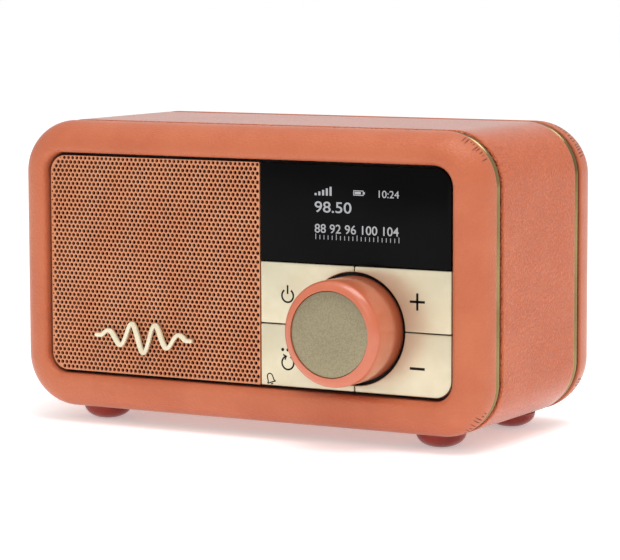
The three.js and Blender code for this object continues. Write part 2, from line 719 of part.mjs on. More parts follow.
function addRear() {
  const screwHead = 1.2;
  const cutFrom = REAR_PANEL_FRONT - 1;
  const cutTo = REAR_PANEL_BACK + 1;
  const holes = panelScrewPlaces().map(([x, z]) => rod(x, z, 1.3, cutFrom, cutTo));
  const inset = FRAME_WIDTH + 0.3;
  const { x, z, halfWidth, halfHeight } = RADIATOR;
  const mouth = plate(
    roundedAt(x, z, halfWidth - 3.5, halfHeight - 3.5, halfHeight - 3.6),
    cutFrom,
    cutTo,
  );
  const usbHole = plate(
    roundedAt(USB.x, USB.z, USB.halfWidth + 0.3, USB.halfHeight + 0.3, USB.halfHeight + 0.2),
    cutFrom,
    cutTo,
    3,
  );
  piece(
    "rear_panel",
    cut(
      plate(
        roundedAt(0, 0, HALF_WIDTH - inset, HALF_HEIGHT - inset, REAR_OPENING_RADIUS - 0.2),
        REAR_PANEL_FRONT,
        REAR_PANEL_BACK,
      ),
      mouth,
      usbHole,
      rod(JACK.x, JACK.z, JACK.radius + 0.3, cutFrom, cutTo),
      rod(AERIAL.x, AERIAL.z, 2.5, cutFrom, cutTo),
      ...holes,
    ),
    FINISH.black,
  );
  panelScrewPlaces().forEach(([sx, sz], i) => {
    const back = REAR_PANEL_BACK + 0.05;
    const head = [
      [0, back - 8.6],
      [1, back - 8.6],
      [1, back],
      [2.3, back],
      [2.3, back + 0.6],
      [1.4, back + screwHead],
      [0, back + screwHead],
    ];
    const recess = [0, Math.PI / 2].map((turn) =>
      solid(
        new THREE.BoxGeometry(2.2, 1, 0.5).translate(0, back + screwHead, 0).rotateY(turn),
      ),
    );
    piece(`panel_screw_${i + 1}`, cut(turned(head, SMALL_ROUND), ...recess), FINISH.steel, [sx, 0, sz]);
  });

  const guardHalf = { w: halfWidth - 1.5, h: halfHeight - 1.5 };
  const slots = [-3, -2, -1, 0, 1, 2, 3].map((row) => {
    const rise = row * 3.9;
    const reach = guardHalf.w - 4.5 - Math.abs(row) * 1.7;
    return plate(roundedAt(x, z + rise, reach, 1, 0.95), REAR_PANEL_BACK - 1, cutTo + 1, 2);
  });
  piece(
    "radiator_guard",
    cut(
      plate(
        roundedAt(x, z, guardHalf.w, guardHalf.h, guardHalf.h - 0.1),
        REAR_PANEL_BACK + 0.05,
        REAR_PANEL_BACK + 1,
      ),
      ...slots,
    ),
    FINISH.grille,
  );

  const stadium = (shrink, depth) => ({
    halfWidth: halfWidth - shrink,
    halfHeight: halfHeight - shrink,
    radius: halfHeight - shrink - 0.1,
    depth,
  });
  const frameBack = REAR_PANEL_FRONT - 0.1;
  const frame = [
    [0, frameBack],
    [3.4, frameBack],
    [3.4, frameBack - 2],
    [0, frameBack - 2],
  ];
  const roll = [
    [3.5, frameBack - 0.5],
    [4.6, frameBack + 0.9],
    [6.4, frameBack + 0.9],
    [7.4, frameBack - 0.5],
    [7.4, frameBack - 1],
    [6.2, frameBack + 0.3],
    [4.8, frameBack + 0.3],
    [3.5, frameBack - 1],
  ];
  const place = [x, 0, z];
  piece("radiator_frame", ring(frame.map(([s, d]) => stadium(s, d))), FINISH.black, place);
  piece("radiator_surround", ring(roll.map(([s, d]) => stadium(s, d))), FINISH.rubber, place);
  piece(
    "radiator_plate",
    plate(
      roundedAt(0, 0, halfWidth - 7.5, halfHeight - 7.5, halfHeight - 7.6),
      frameBack - 1.4,
      frameBack - 0.1,
    ),
    FINISH.steel,
    place,
  );

  const usbShell = plate(
    roundedAt(USB.x, USB.z, USB.halfWidth, USB.halfHeight, USB.halfHeight - 0.1),
    REAR_PANEL_BACK - 8.4,
    REAR_PANEL_BACK - 0.2,
    3,
  );
  const usbMouth = plate(
    roundedAt(USB.x, USB.z, USB.halfWidth - 0.35, USB.halfHeight - 0.35, USB.halfHeight - 0.45),
    REAR_PANEL_BACK - 6,
    REAR_PANEL_BACK + 1,
    3,
  );
  const tongue = block(
    USB.x - 3.3,
    USB.x + 3.3,
    REAR_PANEL_BACK - 6.5,
    REAR_PANEL_BACK - 1,
    USB.z - 0.35,
    USB.z + 0.35,
  );
  piece("usb_socket", union(cut(usbShell, usbMouth), tongue), FINISH.steel);

  const jackBack = REAR_PANEL_FRONT - 0.2;
  const barrel = rod(JACK.x, JACK.z, JACK.radius, jackBack - 1, REAR_PANEL_BACK - 0.1, 24);
  const box = block(
    JACK.x - 3.5,
    JACK.x + 3.5,
    jackBack - 13,
    jackBack,
    JACK.z - 3.1,
    JACK.z + 3.1,
  );
  piece(
    "headphone_socket",
    cut(union(barrel, box), rod(JACK.x, JACK.z, 1.8, jackBack - 12, cutTo, 24)),
    FINISH.black,
  );
}

// ---- Electronics ----------------------------------------------------------------------

function addElectronics() {
  const boardTop = -24.7;
  piece("main_board", block(-6, 46.5, 18, REAR_PANEL_FRONT - 2.6, boardTop - 1.6, boardTop), FINISH.board);
  piece("tuner_shield", block(8, 28, 24, 42, boardTop + 0.05, boardTop + 4.5), FINISH.steel);
  const cell = { radius: 9.2, z: 19.3, left: -10 };
  const pack = solid(
    new THREE.ExtrudeGeometry(
      roundedShape(-cell.radius * 2, cell.radius * 2, -cell.radius, cell.radius, cell.radius - 0.05),
      { depth: 65, bevelEnabled: false, curveSegments: 8 },
    )
      .rotateX(Math.PI / 2)
      .rotateZ(Math.PI / 2)
      .translate(cell.left, 31, cell.z),
  );
  piece("battery_pack", pack, FINISH.cell);
}

// ---- Aerial: turret, hinge pin and four telescoping sections --------------------------

function addAerial() {
  const place = [AERIAL.x, 0, AERIAL.z];
  const pinDepth = AERIAL.depth;
  const panel = REAR_PANEL_BACK;
  const base = union(
    rod(0, 0, 2.2, panel - 5, panel + 1, 20),
    rod(0, 0, 4.4, panel + 0.2, panel + 1.4, 24),
  );
  const ears = [-1, 1].map((side) => {
    const near = side * 1.15;
    const far = side * 2.6;
    const [low, high] = [Math.min(near, far), Math.max(near, far)];
    const round = solid(
      new THREE.CylinderGeometry(EAR_RADIUS, EAR_RADIUS, high - low, 24)
        .rotateX(Math.PI / 2)
        .translate(0, pinDepth, (low + high) / 2),
    );
    return union(round, block(-EAR_RADIUS, EAR_RADIUS, panel + 1.1, pinDepth, low, high));
  });
  const pinHole = (radius) =>
    solid(
      new THREE.CylinderGeometry(radius, radius, 12, 16).rotateX(Math.PI / 2).translate(0, pinDepth, 0),
    );
  piece("aerial_turret", cut(union(base, ...ears), pinHole(0.95)), FINISH.steel, place);
  piece(
    "aerial_hinge_pin",
    solid(
      new THREE.CylinderGeometry(0.8, 0.8, 5.8, 16).rotateX(Math.PI / 2).translate(0, pinDepth, 0),
    ),
    FINISH.steel,
    place,
  );

  /** A tube along -X from the hinge: its profile is [radius, distance from the hinge]. */
  const along = (profile, facets) =>
    solid(
      new THREE.LatheGeometry(profile.map(([r, y]) => new THREE.Vector2(r, y)), facets)
        .rotateZ(Math.PI / 2)
        .translate(0, pinDepth, 0),
    );
  const start = 3;
  const first = { outer: AERIAL.radius, inner: 1.65, end: 82 };
  const tube = along(
    [
      [0, start],
      [first.outer, start],
      [first.outer, first.end],
      [first.inner, first.end],
      [first.inner, start + 1.5],
      [0, start + 1.5],
    ],
    20,
  );
  const knuckle = union(
    solid(new THREE.CylinderGeometry(2, 2, 2, 20).rotateX(Math.PI / 2).translate(0, pinDepth, 0)),
    block(-start - 0.5, 0, pinDepth - 1.6, pinDepth + 1.6, -1, 1),
  );
  piece("aerial_tube_1", cut(union(tube, knuckle), pinHole(0.9)), FINISH.steel, place);

  const sections = [
    { name: "aerial_tube_2", outer: 1.55, inner: 1.2, end: 83.5 },
    { name: "aerial_tube_3", outer: 1.1, inner: 0.8, end: 85 },
  ];
  for (const { name, outer, inner, end } of sections) {
    const rear = 5;
    const made = along(
      [
        [inner, rear],
        [outer, rear],
        [outer, end],
        [inner, end],
        [inner, rear],
      ],
      20,
    );
    piece(name, made, FINISH.steel, place);
  }
  piece(
    "aerial_tip_rod",
    along(
      [
        [0, 5.5],
        [0.7, 5.5],
        [0.7, 85.2],
        [1.6, 85.2],
        [1.9, 85.8],
        [1.9, 89],
        [1.4, 89.8],
        [0, 89.8],
      ],
      20,
    ),
    FINISH.steel,
    place,
  );
}

addCabinet(FEET);
addFeet();
addFascia();
addControls();
addSpeaker();
addRear();
addElectronics();
addAerial();

export default radio;
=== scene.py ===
# %% [markdown]
# # A small leather-covered radio
# The radio is already built as a working assembly: every solid has its place, its size and
# its joint. Here it gets its looks. Each piece that shows is made again with finer shapes,
# and rides on the solid that it stands for, so that it still turns, presses or slides.

# %% Load the assembly
import json
import math
import random

import bmesh
import bpy
import numpy as np
from mathutils import Matrix, Vector


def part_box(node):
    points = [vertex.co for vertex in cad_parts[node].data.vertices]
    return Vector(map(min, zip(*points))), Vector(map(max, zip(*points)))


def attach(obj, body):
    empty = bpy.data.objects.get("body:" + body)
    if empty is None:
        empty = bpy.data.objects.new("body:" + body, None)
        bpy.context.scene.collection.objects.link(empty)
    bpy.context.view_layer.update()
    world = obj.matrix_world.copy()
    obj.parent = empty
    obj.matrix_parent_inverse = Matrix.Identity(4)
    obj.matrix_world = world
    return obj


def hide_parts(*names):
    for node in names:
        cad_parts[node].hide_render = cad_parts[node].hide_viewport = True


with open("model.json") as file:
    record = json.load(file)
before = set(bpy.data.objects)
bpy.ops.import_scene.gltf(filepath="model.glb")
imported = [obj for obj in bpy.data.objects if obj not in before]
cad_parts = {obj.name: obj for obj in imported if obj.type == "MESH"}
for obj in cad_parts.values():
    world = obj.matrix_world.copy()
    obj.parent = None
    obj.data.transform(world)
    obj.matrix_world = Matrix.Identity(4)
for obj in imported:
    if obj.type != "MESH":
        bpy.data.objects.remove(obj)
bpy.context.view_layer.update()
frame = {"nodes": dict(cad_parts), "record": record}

MM = 0.001
print("pieces in the assembly:", len(frame["nodes"]))

# %% [markdown]
# ## Where things are
# Every place comes from the solids' own boxes. Lengths are easier to think about in
# millimetres, so the helpers below work in millimetres and turn to metres at the end.


# %% Measures taken from the solids
def low_high(node):
    """The lowest and highest corner of a solid, in millimetres."""
    low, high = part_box(node)
    return Vector(low) / MM, Vector(high) / MM


def middle(node):
    """The middle of a solid's box, in millimetres."""
    low, high = low_high(node)
    return (low + high) / 2


body_low, body_high = low_high("side_leather_wrap")
FRONT = low_high("front_leather_cover")[0].y
REAR = low_high("rear_leather_cover")[1].y
HALF_WIDTH = body_high.x
HALF_HEIGHT = (body_high.z - body_low.z) / 2
MIDDLE_Z = (body_high.z + body_low.z) / 2
CORNER_RADIUS = 13.0
BORDER = 8.0
FRONT_OPENING = {"half_height": 27.3, "rise": 0.6, "radius": 5.0}
REAR_OPENING = {"half_height": HALF_HEIGHT - BORDER, "rise": 0.0, "radius": 7.0}
print("cabinet in mm:", round(2 * HALF_WIDTH, 1), round(REAR - FRONT, 1), round(2 * HALF_HEIGHT, 1))

# %% [markdown]
# ## Making meshes
# Most pieces of a radio are made in one of three ways: turned on a lathe, cut from sheet,
# or wrapped round a frame. Each way gets one helper, and all of them hand their points to
# the same function, which builds the mesh, faces it outward and sets its piece in place.


# %% One mesh from points and faces
SLOT_OF = {
    "leather_smooth": "leathercloth",
    "leather_grained": "leathercloth",
    "gilt": "brass_trim",
    "cream_cast": "cream_metal",
    "cream_satin": "cream_metal",
    "ink": "cream_metal",
    "window_black": "window_acrylic",
    "lit_characters": "window_acrylic",
    "knob_lacquer": "knob_gloss",
    "spun_metal": "champagne_metal",
}


def slot_of(material):
    """The record's slot for a finish: its own name, or the one that SLOT_OF gives."""
    name = material.name.split(".")[0]
    return SLOT_OF.get(name, name)


def add_piece(name, points, faces, material, body="cabinet", stands_for=(), sharp=40):
    """Makes a mesh from points in millimetres and hangs it on one of the radio's bodies."""
    mesh = bpy.data.meshes.new(name)
    mesh.from_pydata([tuple(float(c) * MM for c in p) for p in points], [], faces)
    work = bmesh.new()
    work.from_mesh(mesh)
    bmesh.ops.remove_doubles(work, verts=work.verts, dist=1e-7)
    bmesh.ops.recalc_face_normals(work, faces=work.faces)
    work.to_mesh(mesh)
    work.free()
    mesh.polygons.foreach_set("use_smooth", [True] * len(mesh.polygons))
    mesh.set_sharp_from_angle(angle=math.radians(sharp))
    mesh.materials.append(material)
    piece = bpy.data.objects.new(name, mesh)
    bpy.context.scene.collection.objects.link(piece)
    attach(piece, body)
    if stands_for:
        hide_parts(*stands_for)
    return piece


# %% Wrapped pieces: rounded rectangles joined one to the next
def outline(half_width, half_height, radius, rise=0.0, corner_steps=24, side_steps=8):
    """A rounded rectangle, anticlockwise from the front, always with the same count of points."""
    spots = [(1, -1), (1, 1), (-1, 1), (-1, -1)]
    corners = []
    for quarter, (sx, sz) in enumerate(spots):
        angles = (quarter - 1 + np.arange(corner_steps + 1) / corner_steps) * math.pi / 2
        x = sx * (half_width - radius) + radius * np.cos(angles)
        z = rise + sz * (half_height - radius) + radius * np.sin(angles)
        corners.append(np.column_stack([x, z]))
    loop = []
    for quarter in range(4):
        arc, following = corners[quarter], corners[(quarter + 1) % 4]
        share = np.arange(1, side_steps)[:, None] / side_steps
        loop += [arc, arc[-1] + (following[0] - arc[-1]) * share]
    return np.concatenate(loop)


def border_level(inset, depth, front=True, **steps):
    """The cabinet's outline, drawn in by an inset until it meets the opening of its face."""
    share = max(inset, 0) / BORDER
    opening = FRONT_OPENING if front else REAR_OPENING
    loop = outline(
        HALF_WIDTH - inset,
        HALF_HEIGHT + (opening["half_height"] - HALF_HEIGHT) * share,
        CORNER_RADIUS + (opening["radius"] - CORNER_RADIUS) * share,
        MIDDLE_Z + opening["rise"] * share,
        **steps,
    )
    return np.column_stack([loop[:, 0], np.full(len(loop), depth), loop[:, 1]])


def joined(levels, closed=True):
    """Points and faces of a surface that runs through the levels, and back to the first."""
    count = len(levels[0])
    faces = []
    last = len(levels) if closed else len(levels) - 1
    for j in range(last):
        a, b = j * count, ((j + 1) % len(levels)) * count
        for i in range(count):
            k = (i + 1) % count
            faces.append((a + i, a + k, b + k, b + i))
    return np.concatenate(levels), faces


def capped(levels):
    """Points and faces of a sweep through the levels, closed by a face at each end."""
    points, faces = joined(levels, closed=False)
    count = len(levels[0])
    return points, faces + [tuple(range(count)), tuple(range(len(points) - count, len(points)))]


# %% Turned pieces: a profile spun round an axis
AXES = {
    "back": ((1, 0, 0), (0, 0, 1), (0, 1, 0)),
    "left": ((0, 1, 0), (0, 0, 1), (-1, 0, 0)),
    "up": ((1, 0, 0), (0, 1, 0), (0, 0, 1)),
}


def turned(profile, origin, along="back", steps=64, closed=False):
    """Points and faces of [radius, distance] pairs spun about an axis through the origin."""
    first, second, axis = (np.array(v, float) for v in AXES[along])
    angles = np.arange(steps) * 2 * math.pi / steps
    rim = np.outer(np.cos(angles), first) + np.outer(np.sin(angles), second)
    levels = [np.array(origin, float) + max(r, 0) * rim + d * axis for r, d in profile]
    points, faces = joined(levels, closed)
    if not closed:
        for j in (0, len(profile) - 1):
            if profile[j][0] > 0:
                faces.append(tuple(range(j * steps, (j + 1) * steps)))
    return points, faces


def arc(centre, radius, start, stop, steps):
    """Points of an arc, in degrees."""
    angles = np.radians(np.linspace(start, stop, steps + 1))
    across, along = radius if isinstance(radius, tuple) else (radius, radius)
    return [(centre[0] + across * math.cos(a), centre[1] + along * math.sin(a)) for a in angles]


# %% Cut pieces: a flat outline with eased edges
def softened(corners, steps=6):
    """A polygon of (x, z, corner radius), anticlockwise, with its corners rounded."""
    path = []
    count = len(corners)
    for i, (x, z, radius) in enumerate(corners):
        here = Vector((x, z))
        if radius <= 0:
            path.append((x, z))
            continue
        before = (Vector(corners[i - 1][:2]) - here).normalized()
        after = (Vector(corners[(i + 1) % count][:2]) - here).normalized()
        reach = radius / math.tan(before.angle(after) / 2)
        start, stop = here + before * reach, here + after * reach
        centre = here + (before + after).normalized() * (radius / math.sin(before.angle(after) / 2))
        a0 = math.atan2(start.y - centre.y, start.x - centre.x)
        a1 = math.atan2(stop.y - centre.y, stop.x - centre.x)
        turn = (a1 - a0 + math.pi) % (2 * math.pi) - math.pi
        for j in range(steps + 1):
            a = a0 + turn * j / steps
            path.append((centre.x + radius * math.cos(a), centre.y + radius * math.sin(a)))
    return path


def drawn_in(path, amount):
    """The outline moved inward by an amount."""
    p = np.array(path)
    ahead = np.roll(p, -1, axis=0) - p
    ahead /= np.maximum(np.linalg.norm(ahead, axis=1), 1e-9)[:, None]
    behind = np.roll(ahead, 1, axis=0)
    inward = np.column_stack([-(ahead + behind)[:, 1], (ahead + behind)[:, 0]])
    inward /= np.maximum(np.linalg.norm(inward, axis=1), 1e-9)[:, None]
    widen = np.maximum((inward * np.column_stack([-ahead[:, 1], ahead[:, 0]])).sum(1), 0.5)
    return p + inward * (amount / widen)[:, None]


def sheet_solid(path, front, back, ease=0.2, steps=3):
    """Points and faces of a plate with eased front and back edges."""
    levels = []
    for side, sign in ((front, 1), (back, -1)):
        angles = np.radians(np.linspace(0, 90, steps + 1))
        rows = [(ease * (1 - math.sin(a)), side + sign * ease * (1 - math.cos(a))) for a in angles]
        levels += rows if sign > 0 else rows[::-1]
    loops = [drawn_in(path, inset) for inset, _ in levels]
    rings = [np.column_stack([l[:, 0], np.full(len(l), d), l[:, 1]]) for l, (_, d) in zip(loops, levels)]
    return capped(rings)


def filled(curve):
    """A curve's or a text's filled shape, as points and faces, and the curve removed."""
    holder = bpy.data.objects.new(curve.name, curve)
    bpy.context.scene.collection.objects.link(holder)
    made = bpy.data.meshes.new_from_object(holder)
    points = np.empty(len(made.vertices) * 3)
    made.vertices.foreach_get("co", points)
    faces = [tuple(p.vertices) for p in made.polygons]
    bpy.data.objects.remove(holder)
    bpy.data.curves.remove(curve)
    bpy.data.meshes.remove(made)
    return points.reshape(-1, 3), faces


def together(*solids):
    """Several solids' points and faces as one."""
    points, faces, offset = [], [], 0
    for p, f in solids:
        points.append(np.asarray(p, float))
        faces += [tuple(i + offset for i in face) for face in f]
        offset += len(p)
    return np.concatenate(points), faces


# %% [markdown]
# ## Finishes that several pieces share
# Leathercloth, paint and metal all carry the same few effects at different strengths: a
# grain pressed into the surface, a slow drift of tone, a little dust on what faces up, and
# edges that are rubbed brighter. Each effect is a node group with its own named sockets.


# %% Node helpers
def srgb(red, green, blue):
    """A colour given in 0 to 255 as it looks, as the linear values that a shader takes."""
    shares = [c / 255 for c in (red, green, blue)]
    return tuple(((c + 0.055) / 1.055) ** 2.4 if c > 10 / 255 else c / 12.92 for c in shares) + (1.0,)


def new_group(name, inputs, outputs):
    """An empty node group with float, colour or vector sockets."""
    group = bpy.data.node_groups.new(name, "ShaderNodeTree")
    kinds = {"float": "NodeSocketFloat", "colour": "NodeSocketColor", "vector": "NodeSocketVector"}
    for label, kind, value in inputs:
        socket = group.interface.new_socket(name=label, in_out="INPUT", socket_type=kinds[kind])
        socket.default_value = value
    for label, kind in outputs:
        group.interface.new_socket(name=label, in_out="OUTPUT", socket_type=kinds[kind])
    start = group.nodes.new("NodeGroupInput")
    end = group.nodes.new("NodeGroupOutput")
    return group, start.outputs, end.inputs


class Graph:
    """A short way to add nodes and join them."""

    def __init__(self, tree):
        self.tree = tree

    def node(self, kind, values=(), **settings):
        made = self.tree.nodes.new(kind)
        for key, value in settings.items():
            setattr(made, key, value)
        for key, value in dict(values).items():
            self.give(made.inputs[key], value)
        return made

    def give(self, socket, value):
        if isinstance(value, bpy.types.NodeSocket):
            self.tree.links.new(value, socket)
        else:
            socket.default_value = value

    def math(self, operation, a, b=0.0, clamp=False):
        made = self.node("ShaderNodeMath", operation=operation, use_clamp=clamp)
        self.give(made.inputs[0], a)
        self.give(made.inputs[1], b)
        return made.outputs[0]

    def times(self, a, b, clamp=False):
        return self.math("MULTIPLY", a, b, clamp)

    def plus(self, a, b, clamp=False):
        return self.math("ADD", a, b, clamp)

    def minus(self, a, b, clamp=False):
        return self.math("SUBTRACT", a, b, clamp)

    def place(self):
        """Where the point lies on the piece, in metres."""
        return self.node("ShaderNodeTexCoord").outputs["Object"]

    def mix(self, share, a, b):
        made = self.node("ShaderNodeMix", data_type="RGBA")
        self.give(made.inputs["Factor"], share)
        self.give(made.inputs[6], a)
        self.give(made.inputs[7], b)
        return made.outputs[2]

    def band(self, value, low, high, to_low=0.0, to_high=1.0):
        made = self.node("ShaderNodeMapRange", interpolation_type="SMOOTHSTEP")
        ends = {"From Min": low, "From Max": high, "To Min": to_low, "To Max": to_high}
        for key, v in {"Value": value, **ends}.items():
            self.give(made.inputs[key], v)
        return made.outputs["Result"]

    def noise(self, vector, scale, detail=3.0, rough=0.5, distort=0.0):
        values = {"Scale": scale, "Detail": detail, "Roughness": rough, "Distortion": distort}
        made = self.node("ShaderNodeTexNoise", values)
        self.give(made.inputs["Vector"], vector)
        return made.outputs["Fac"]

    def cells(self, vector, scale, feature="DISTANCE_TO_EDGE"):
        made = self.node("ShaderNodeTexVoronoi", {"Scale": scale}, feature=feature)
        self.give(made.inputs["Vector"], vector)
        return made.outputs["Distance"]


# %% Grain: creases between small pebbles, drawn out round the cabinet
grain_group, given, gives = new_group(
    "grain",
    [("Size mm", "float", 1.0), ("Draw", "float", 1.0), ("Softness", "float", 0.5)],
    [("Height", "float"), ("Crease", "float")],
)
g = Graph(grain_group)
place = g.place()
per_metre = g.math("DIVIDE", 1000.0, given["Size mm"])
drawn = g.math("DIVIDE", per_metre, given["Draw"])
stretch = g.node("ShaderNodeCombineXYZ", {"X": drawn, "Y": per_metre, "Z": drawn}).outputs[0]
scaled = g.node("ShaderNodeVectorMath", operation="MULTIPLY")
g.give(scaled.inputs[0], place)
g.give(scaled.inputs[1], stretch)
grain_place = scaled.outputs[0]
wander = g.node("ShaderNodeTexNoise", {"Vector": grain_place, "Scale": 0.7, "Detail": 2.0})
pushed = g.node("ShaderNodeVectorMath", operation="MULTIPLY_ADD")
g.give(pushed.inputs[0], wander.outputs["Color"])
g.give(pushed.inputs[1], (1.1, 1.1, 1.1))
g.give(pushed.inputs[2], grain_place)
pebble = g.band(g.cells(pushed.outputs[0], 1.0), 0.0, 0.32)
fine = g.noise(grain_place, 3.1, 4.0, 0.6)
soft = g.noise(grain_place, 0.8, 3.0, 0.55, 0.6)
rough_part = g.plus(g.times(pebble, 0.6), g.times(fine, 0.4))
blend_soft = g.node("ShaderNodeMix", data_type="FLOAT")
g.give(blend_soft.inputs["Factor"], given["Softness"])
g.give(blend_soft.inputs[2], rough_part)
g.give(blend_soft.inputs[3], soft)
g.give(gives["Height"], blend_soft.outputs[0])
g.give(gives["Crease"], g.minus(1.0, pebble))

# %% Tone: a slow drift between two colours, with fine flecks
tone_group, given, gives = new_group(
    "tone",
    [("Light", "colour", (1, 1, 1, 1)), ("Dark", "colour", (0, 0, 0, 1)),
     ("Patch mm", "float", 12.0), ("Fleck", "float", 0.1)],
    [("Colour", "colour"), ("Drift", "float")],
)
g = Graph(tone_group)
place = g.place()
drift = g.noise(place, g.math("DIVIDE", 1000.0, given["Patch mm"]), 4.0, 0.6)
fleck = g.times(g.minus(g.noise(place, 2600.0, 2.0), 0.5), given["Fleck"])
share = g.plus(g.band(drift, 0.35, 0.65), fleck, clamp=True)
g.give(gives["Colour"], g.mix(share, given["Light"], given["Dark"]))
g.give(gives["Drift"], drift)

# %% Dust: specks and a thin film that settle on what faces up
dust_group, given, gives = new_group("dust", [("Amount", "float", 0.2)], [("Mask", "float")])
g = Graph(dust_group)
place = g.place()
facing = g.node("ShaderNodeSeparateXYZ", {"Vector": g.node("ShaderNodeNewGeometry").outputs["Normal"]})
upward = g.band(facing.outputs["Z"], 0.2, 0.95)
specks = g.band(g.noise(place, 900.0, 5.0, 0.7), 0.56, 0.72)
film = g.plus(g.times(specks, 0.7), 0.3)
g.give(gives["Mask"], g.times(g.times(upward, film), given["Amount"], clamp=True))

# %% Edge wear: brighter where an edge stands out and noise lets it through
wear_group, given, gives = new_group("edge_wear", [("Amount", "float", 0.5)], [("Mask", "float")])
g = Graph(wear_group)
place = g.place()
edge = g.band(g.node("ShaderNodeNewGeometry").outputs["Pointiness"], 0.52, 0.60)
patchy = g.band(g.noise(place, 700.0, 4.0, 0.65), 0.4, 0.62)
g.give(gives["Mask"], g.times(g.times(edge, patchy), given["Amount"], clamp=True))
print("shared effects:", [grain_group.name, tone_group.name, dust_group.name, wear_group.name])


# %% One finish from its values
def finish(name, light, dark, rough=0.5, rough_drift=0.1, metal=0.0, patch=12.0, fleck=0.1, grain=None,
           crease_shade=0.0, wear=0.0, worn=None, dust=0.0, **shader):
    """A material: tone, grain, painted shade in the grain's creases, wear and dust round one Principled
    shader.

    Colours are 0 to 255 as they look. grain is (size in mm, draw, softness, depth in mm).
    Extra values go straight on the shader."""
    light, dark, worn = srgb(*light), srgb(*dark), srgb(*(worn or light))
    material = bpy.data.materials.new(name)
    material.use_nodes = True
    material.diffuse_color = light
    tree = material.node_tree
    tree.nodes.clear()
    g = Graph(tree)
    surface = g.node("ShaderNodeBsdfPrincipled")
    out = g.node("ShaderNodeOutputMaterial")
    tree.links.new(surface.outputs[0], out.inputs["Surface"])
    for key, value in shader.items():
        surface.inputs[key.replace("_", " ")].default_value = value
    tone = g.node("ShaderNodeGroup", node_tree=tone_group)
    for key, value in (("Light", light), ("Dark", dark), ("Patch mm", patch), ("Fleck", fleck)):
        g.give(tone.inputs[key], value)
    colour = tone.outputs["Colour"]
    drift = g.minus(tone.outputs["Drift"], 0.5)
    roughness = g.plus(g.times(drift, 2 * rough_drift), rough)
    if grain:
        size, draw, softness, depth = grain
        pressed = g.node("ShaderNodeGroup", node_tree=grain_group)
        for key, value in (("Size mm", size), ("Draw", draw), ("Softness", softness)):
            g.give(pressed.inputs[key], value)
        raised = g.node("ShaderNodeBump", {"Strength": 1.0, "Distance": depth * MM,
                                           "Height": pressed.outputs["Height"]})
        g.give(surface.inputs["Normal"], raised.outputs[0])
        crease = g.times(pressed.outputs["Crease"], 0.5)
        roughness = g.plus(roughness, g.times(crease, 0.15))
        if crease_shade:
            # Painted shade: the grain's creases are darkened in colour, towards a deeper shade of the dark
            # tone.
            deep = tuple(c * 0.6 for c in dark[:3]) + (1.0,)
            colour = g.mix(g.times(pressed.outputs["Crease"], crease_shade), colour, deep)
    if wear:
        rubbed = g.node("ShaderNodeGroup", {"Amount": wear}, node_tree=wear_group)
        colour = g.mix(rubbed.outputs["Mask"], colour, worn)
    if dust:
        settled = g.node("ShaderNodeGroup", {"Amount": dust}, node_tree=dust_group)
        colour = g.mix(settled.outputs["Mask"], colour, srgb(205, 198, 188))
        roughness = g.plus(roughness, g.times(settled.outputs["Mask"], 0.4))
    g.give(surface.inputs["Base Color"], colour)
    g.give(surface.inputs["Roughness"], g.math("MAXIMUM", roughness, 0.03, clamp=True))
    surface.inputs["Metallic"].default_value = metal
    return material


def shader_of(material):
    """A finish's Principled shader."""
    return next(n for n in material.node_tree.nodes if n.type == "BSDF_PRINCIPLED")


# %% [markdown]
# ## Leathercloth
# The cabinet is covered in coral leathercloth: a coated fabric with a fine pressed grain.
# Its grain is drawn out the way that the cloth was pulled round the cabinet. Where it was
# folded over a corner it puckers, and the folds hold a little shadow. That shadow is a
# value painted on the mesh when the folds are made, and the finish reads it back.

# %% Coral leathercloth
def leather(name, light, dark, depth, crease_shade, gloss):
    """Coral leathercloth with its grain pressed to a depth in mm, and painted shade in its folds, seams and
    grain creases.
    """
    made = finish(name, light, dark, rough=0.38, rough_drift=0.06, patch=18, fleck=0.12,
                  grain=(0.6, 2.1, 0.35, depth), crease_shade=crease_shade, Specular_IOR_Level=0.5,
                  Specular_Tint=(1.0, 0.84, 0.68, 1.0), Coat_Roughness=0.26, Coat_IOR=1.9)
    g = Graph(made.node_tree)
    surface = shader_of(made)
    base = surface.inputs["Base Color"].links[0].from_socket
    # Painted shade: the mesh's fold value darkens the coral towards deep brown in the corner folds and along
    # the tucked seams.
    fold_and_seam_shade = g.node("ShaderNodeAttribute", attribute_name="fold").outputs["Fac"]
    g.give(surface.inputs["Base Color"], g.mix(g.times(fold_and_seam_shade, 0.95), base, srgb(84, 26, 16)))
    glance = g.node("ShaderNodeLayerWeight", {"Blend": 0.5}).outputs["Facing"]
    flat = g.minus(1.0, fold_and_seam_shade, clamp=True)
    g.give(surface.inputs["Coat Weight"], g.times(g.band(glance, 0.6, 0.95, 0.0, gloss), flat))
    return made


leather_smooth = leather("leather_smooth", (190, 104, 71), (183, 96, 64), 0.14, 0.0, 0.4)
leather_grained = leather("leather_grained", (212, 109, 68), (205, 101, 61), 0.6, 0.28, 1.0)
print("leather finishes:", leather_smooth.name, leather_grained.name)

# %% [markdown]
# ## The three leather covers
# Each cover is a skin on a padded frame: a tucked edge at the seam, a roll over the
# cabinet's edge, and a small lip that turns into the opening. The skin is one closed
# surface, with a fine outer side and a plain inner one.

# %% Folds at the corners
SKIN = 1.0
TUCK = 0.6
FOLD_DEPTH = 0.34
FOLD_WIDTH = 0.6  # in degrees of the corner
FULL_SHARE = 0.45  # share of a fold's length before it starts to fade
FOLD_START = 0.4  # mm over which a fold sets in
SEAM_SHADE = 0.85


def folds(seed, spans, reach):
    """Fold lines as (corner, angle, length, depth): spans gives the angles at each corner."""
    pick = random.Random(seed)
    lines = []
    for quarter, (start, stop, spacing) in spans.items():
        angle = start
        while angle < stop:
            at = angle + pick.uniform(-0.7, 0.7)
            length = reach * pick.uniform(0.6, 1.15)
            lines.append((quarter, at, length, pick.uniform(0.7, 1.0)))
            angle += spacing * pick.uniform(0.8, 1.25)
    return lines


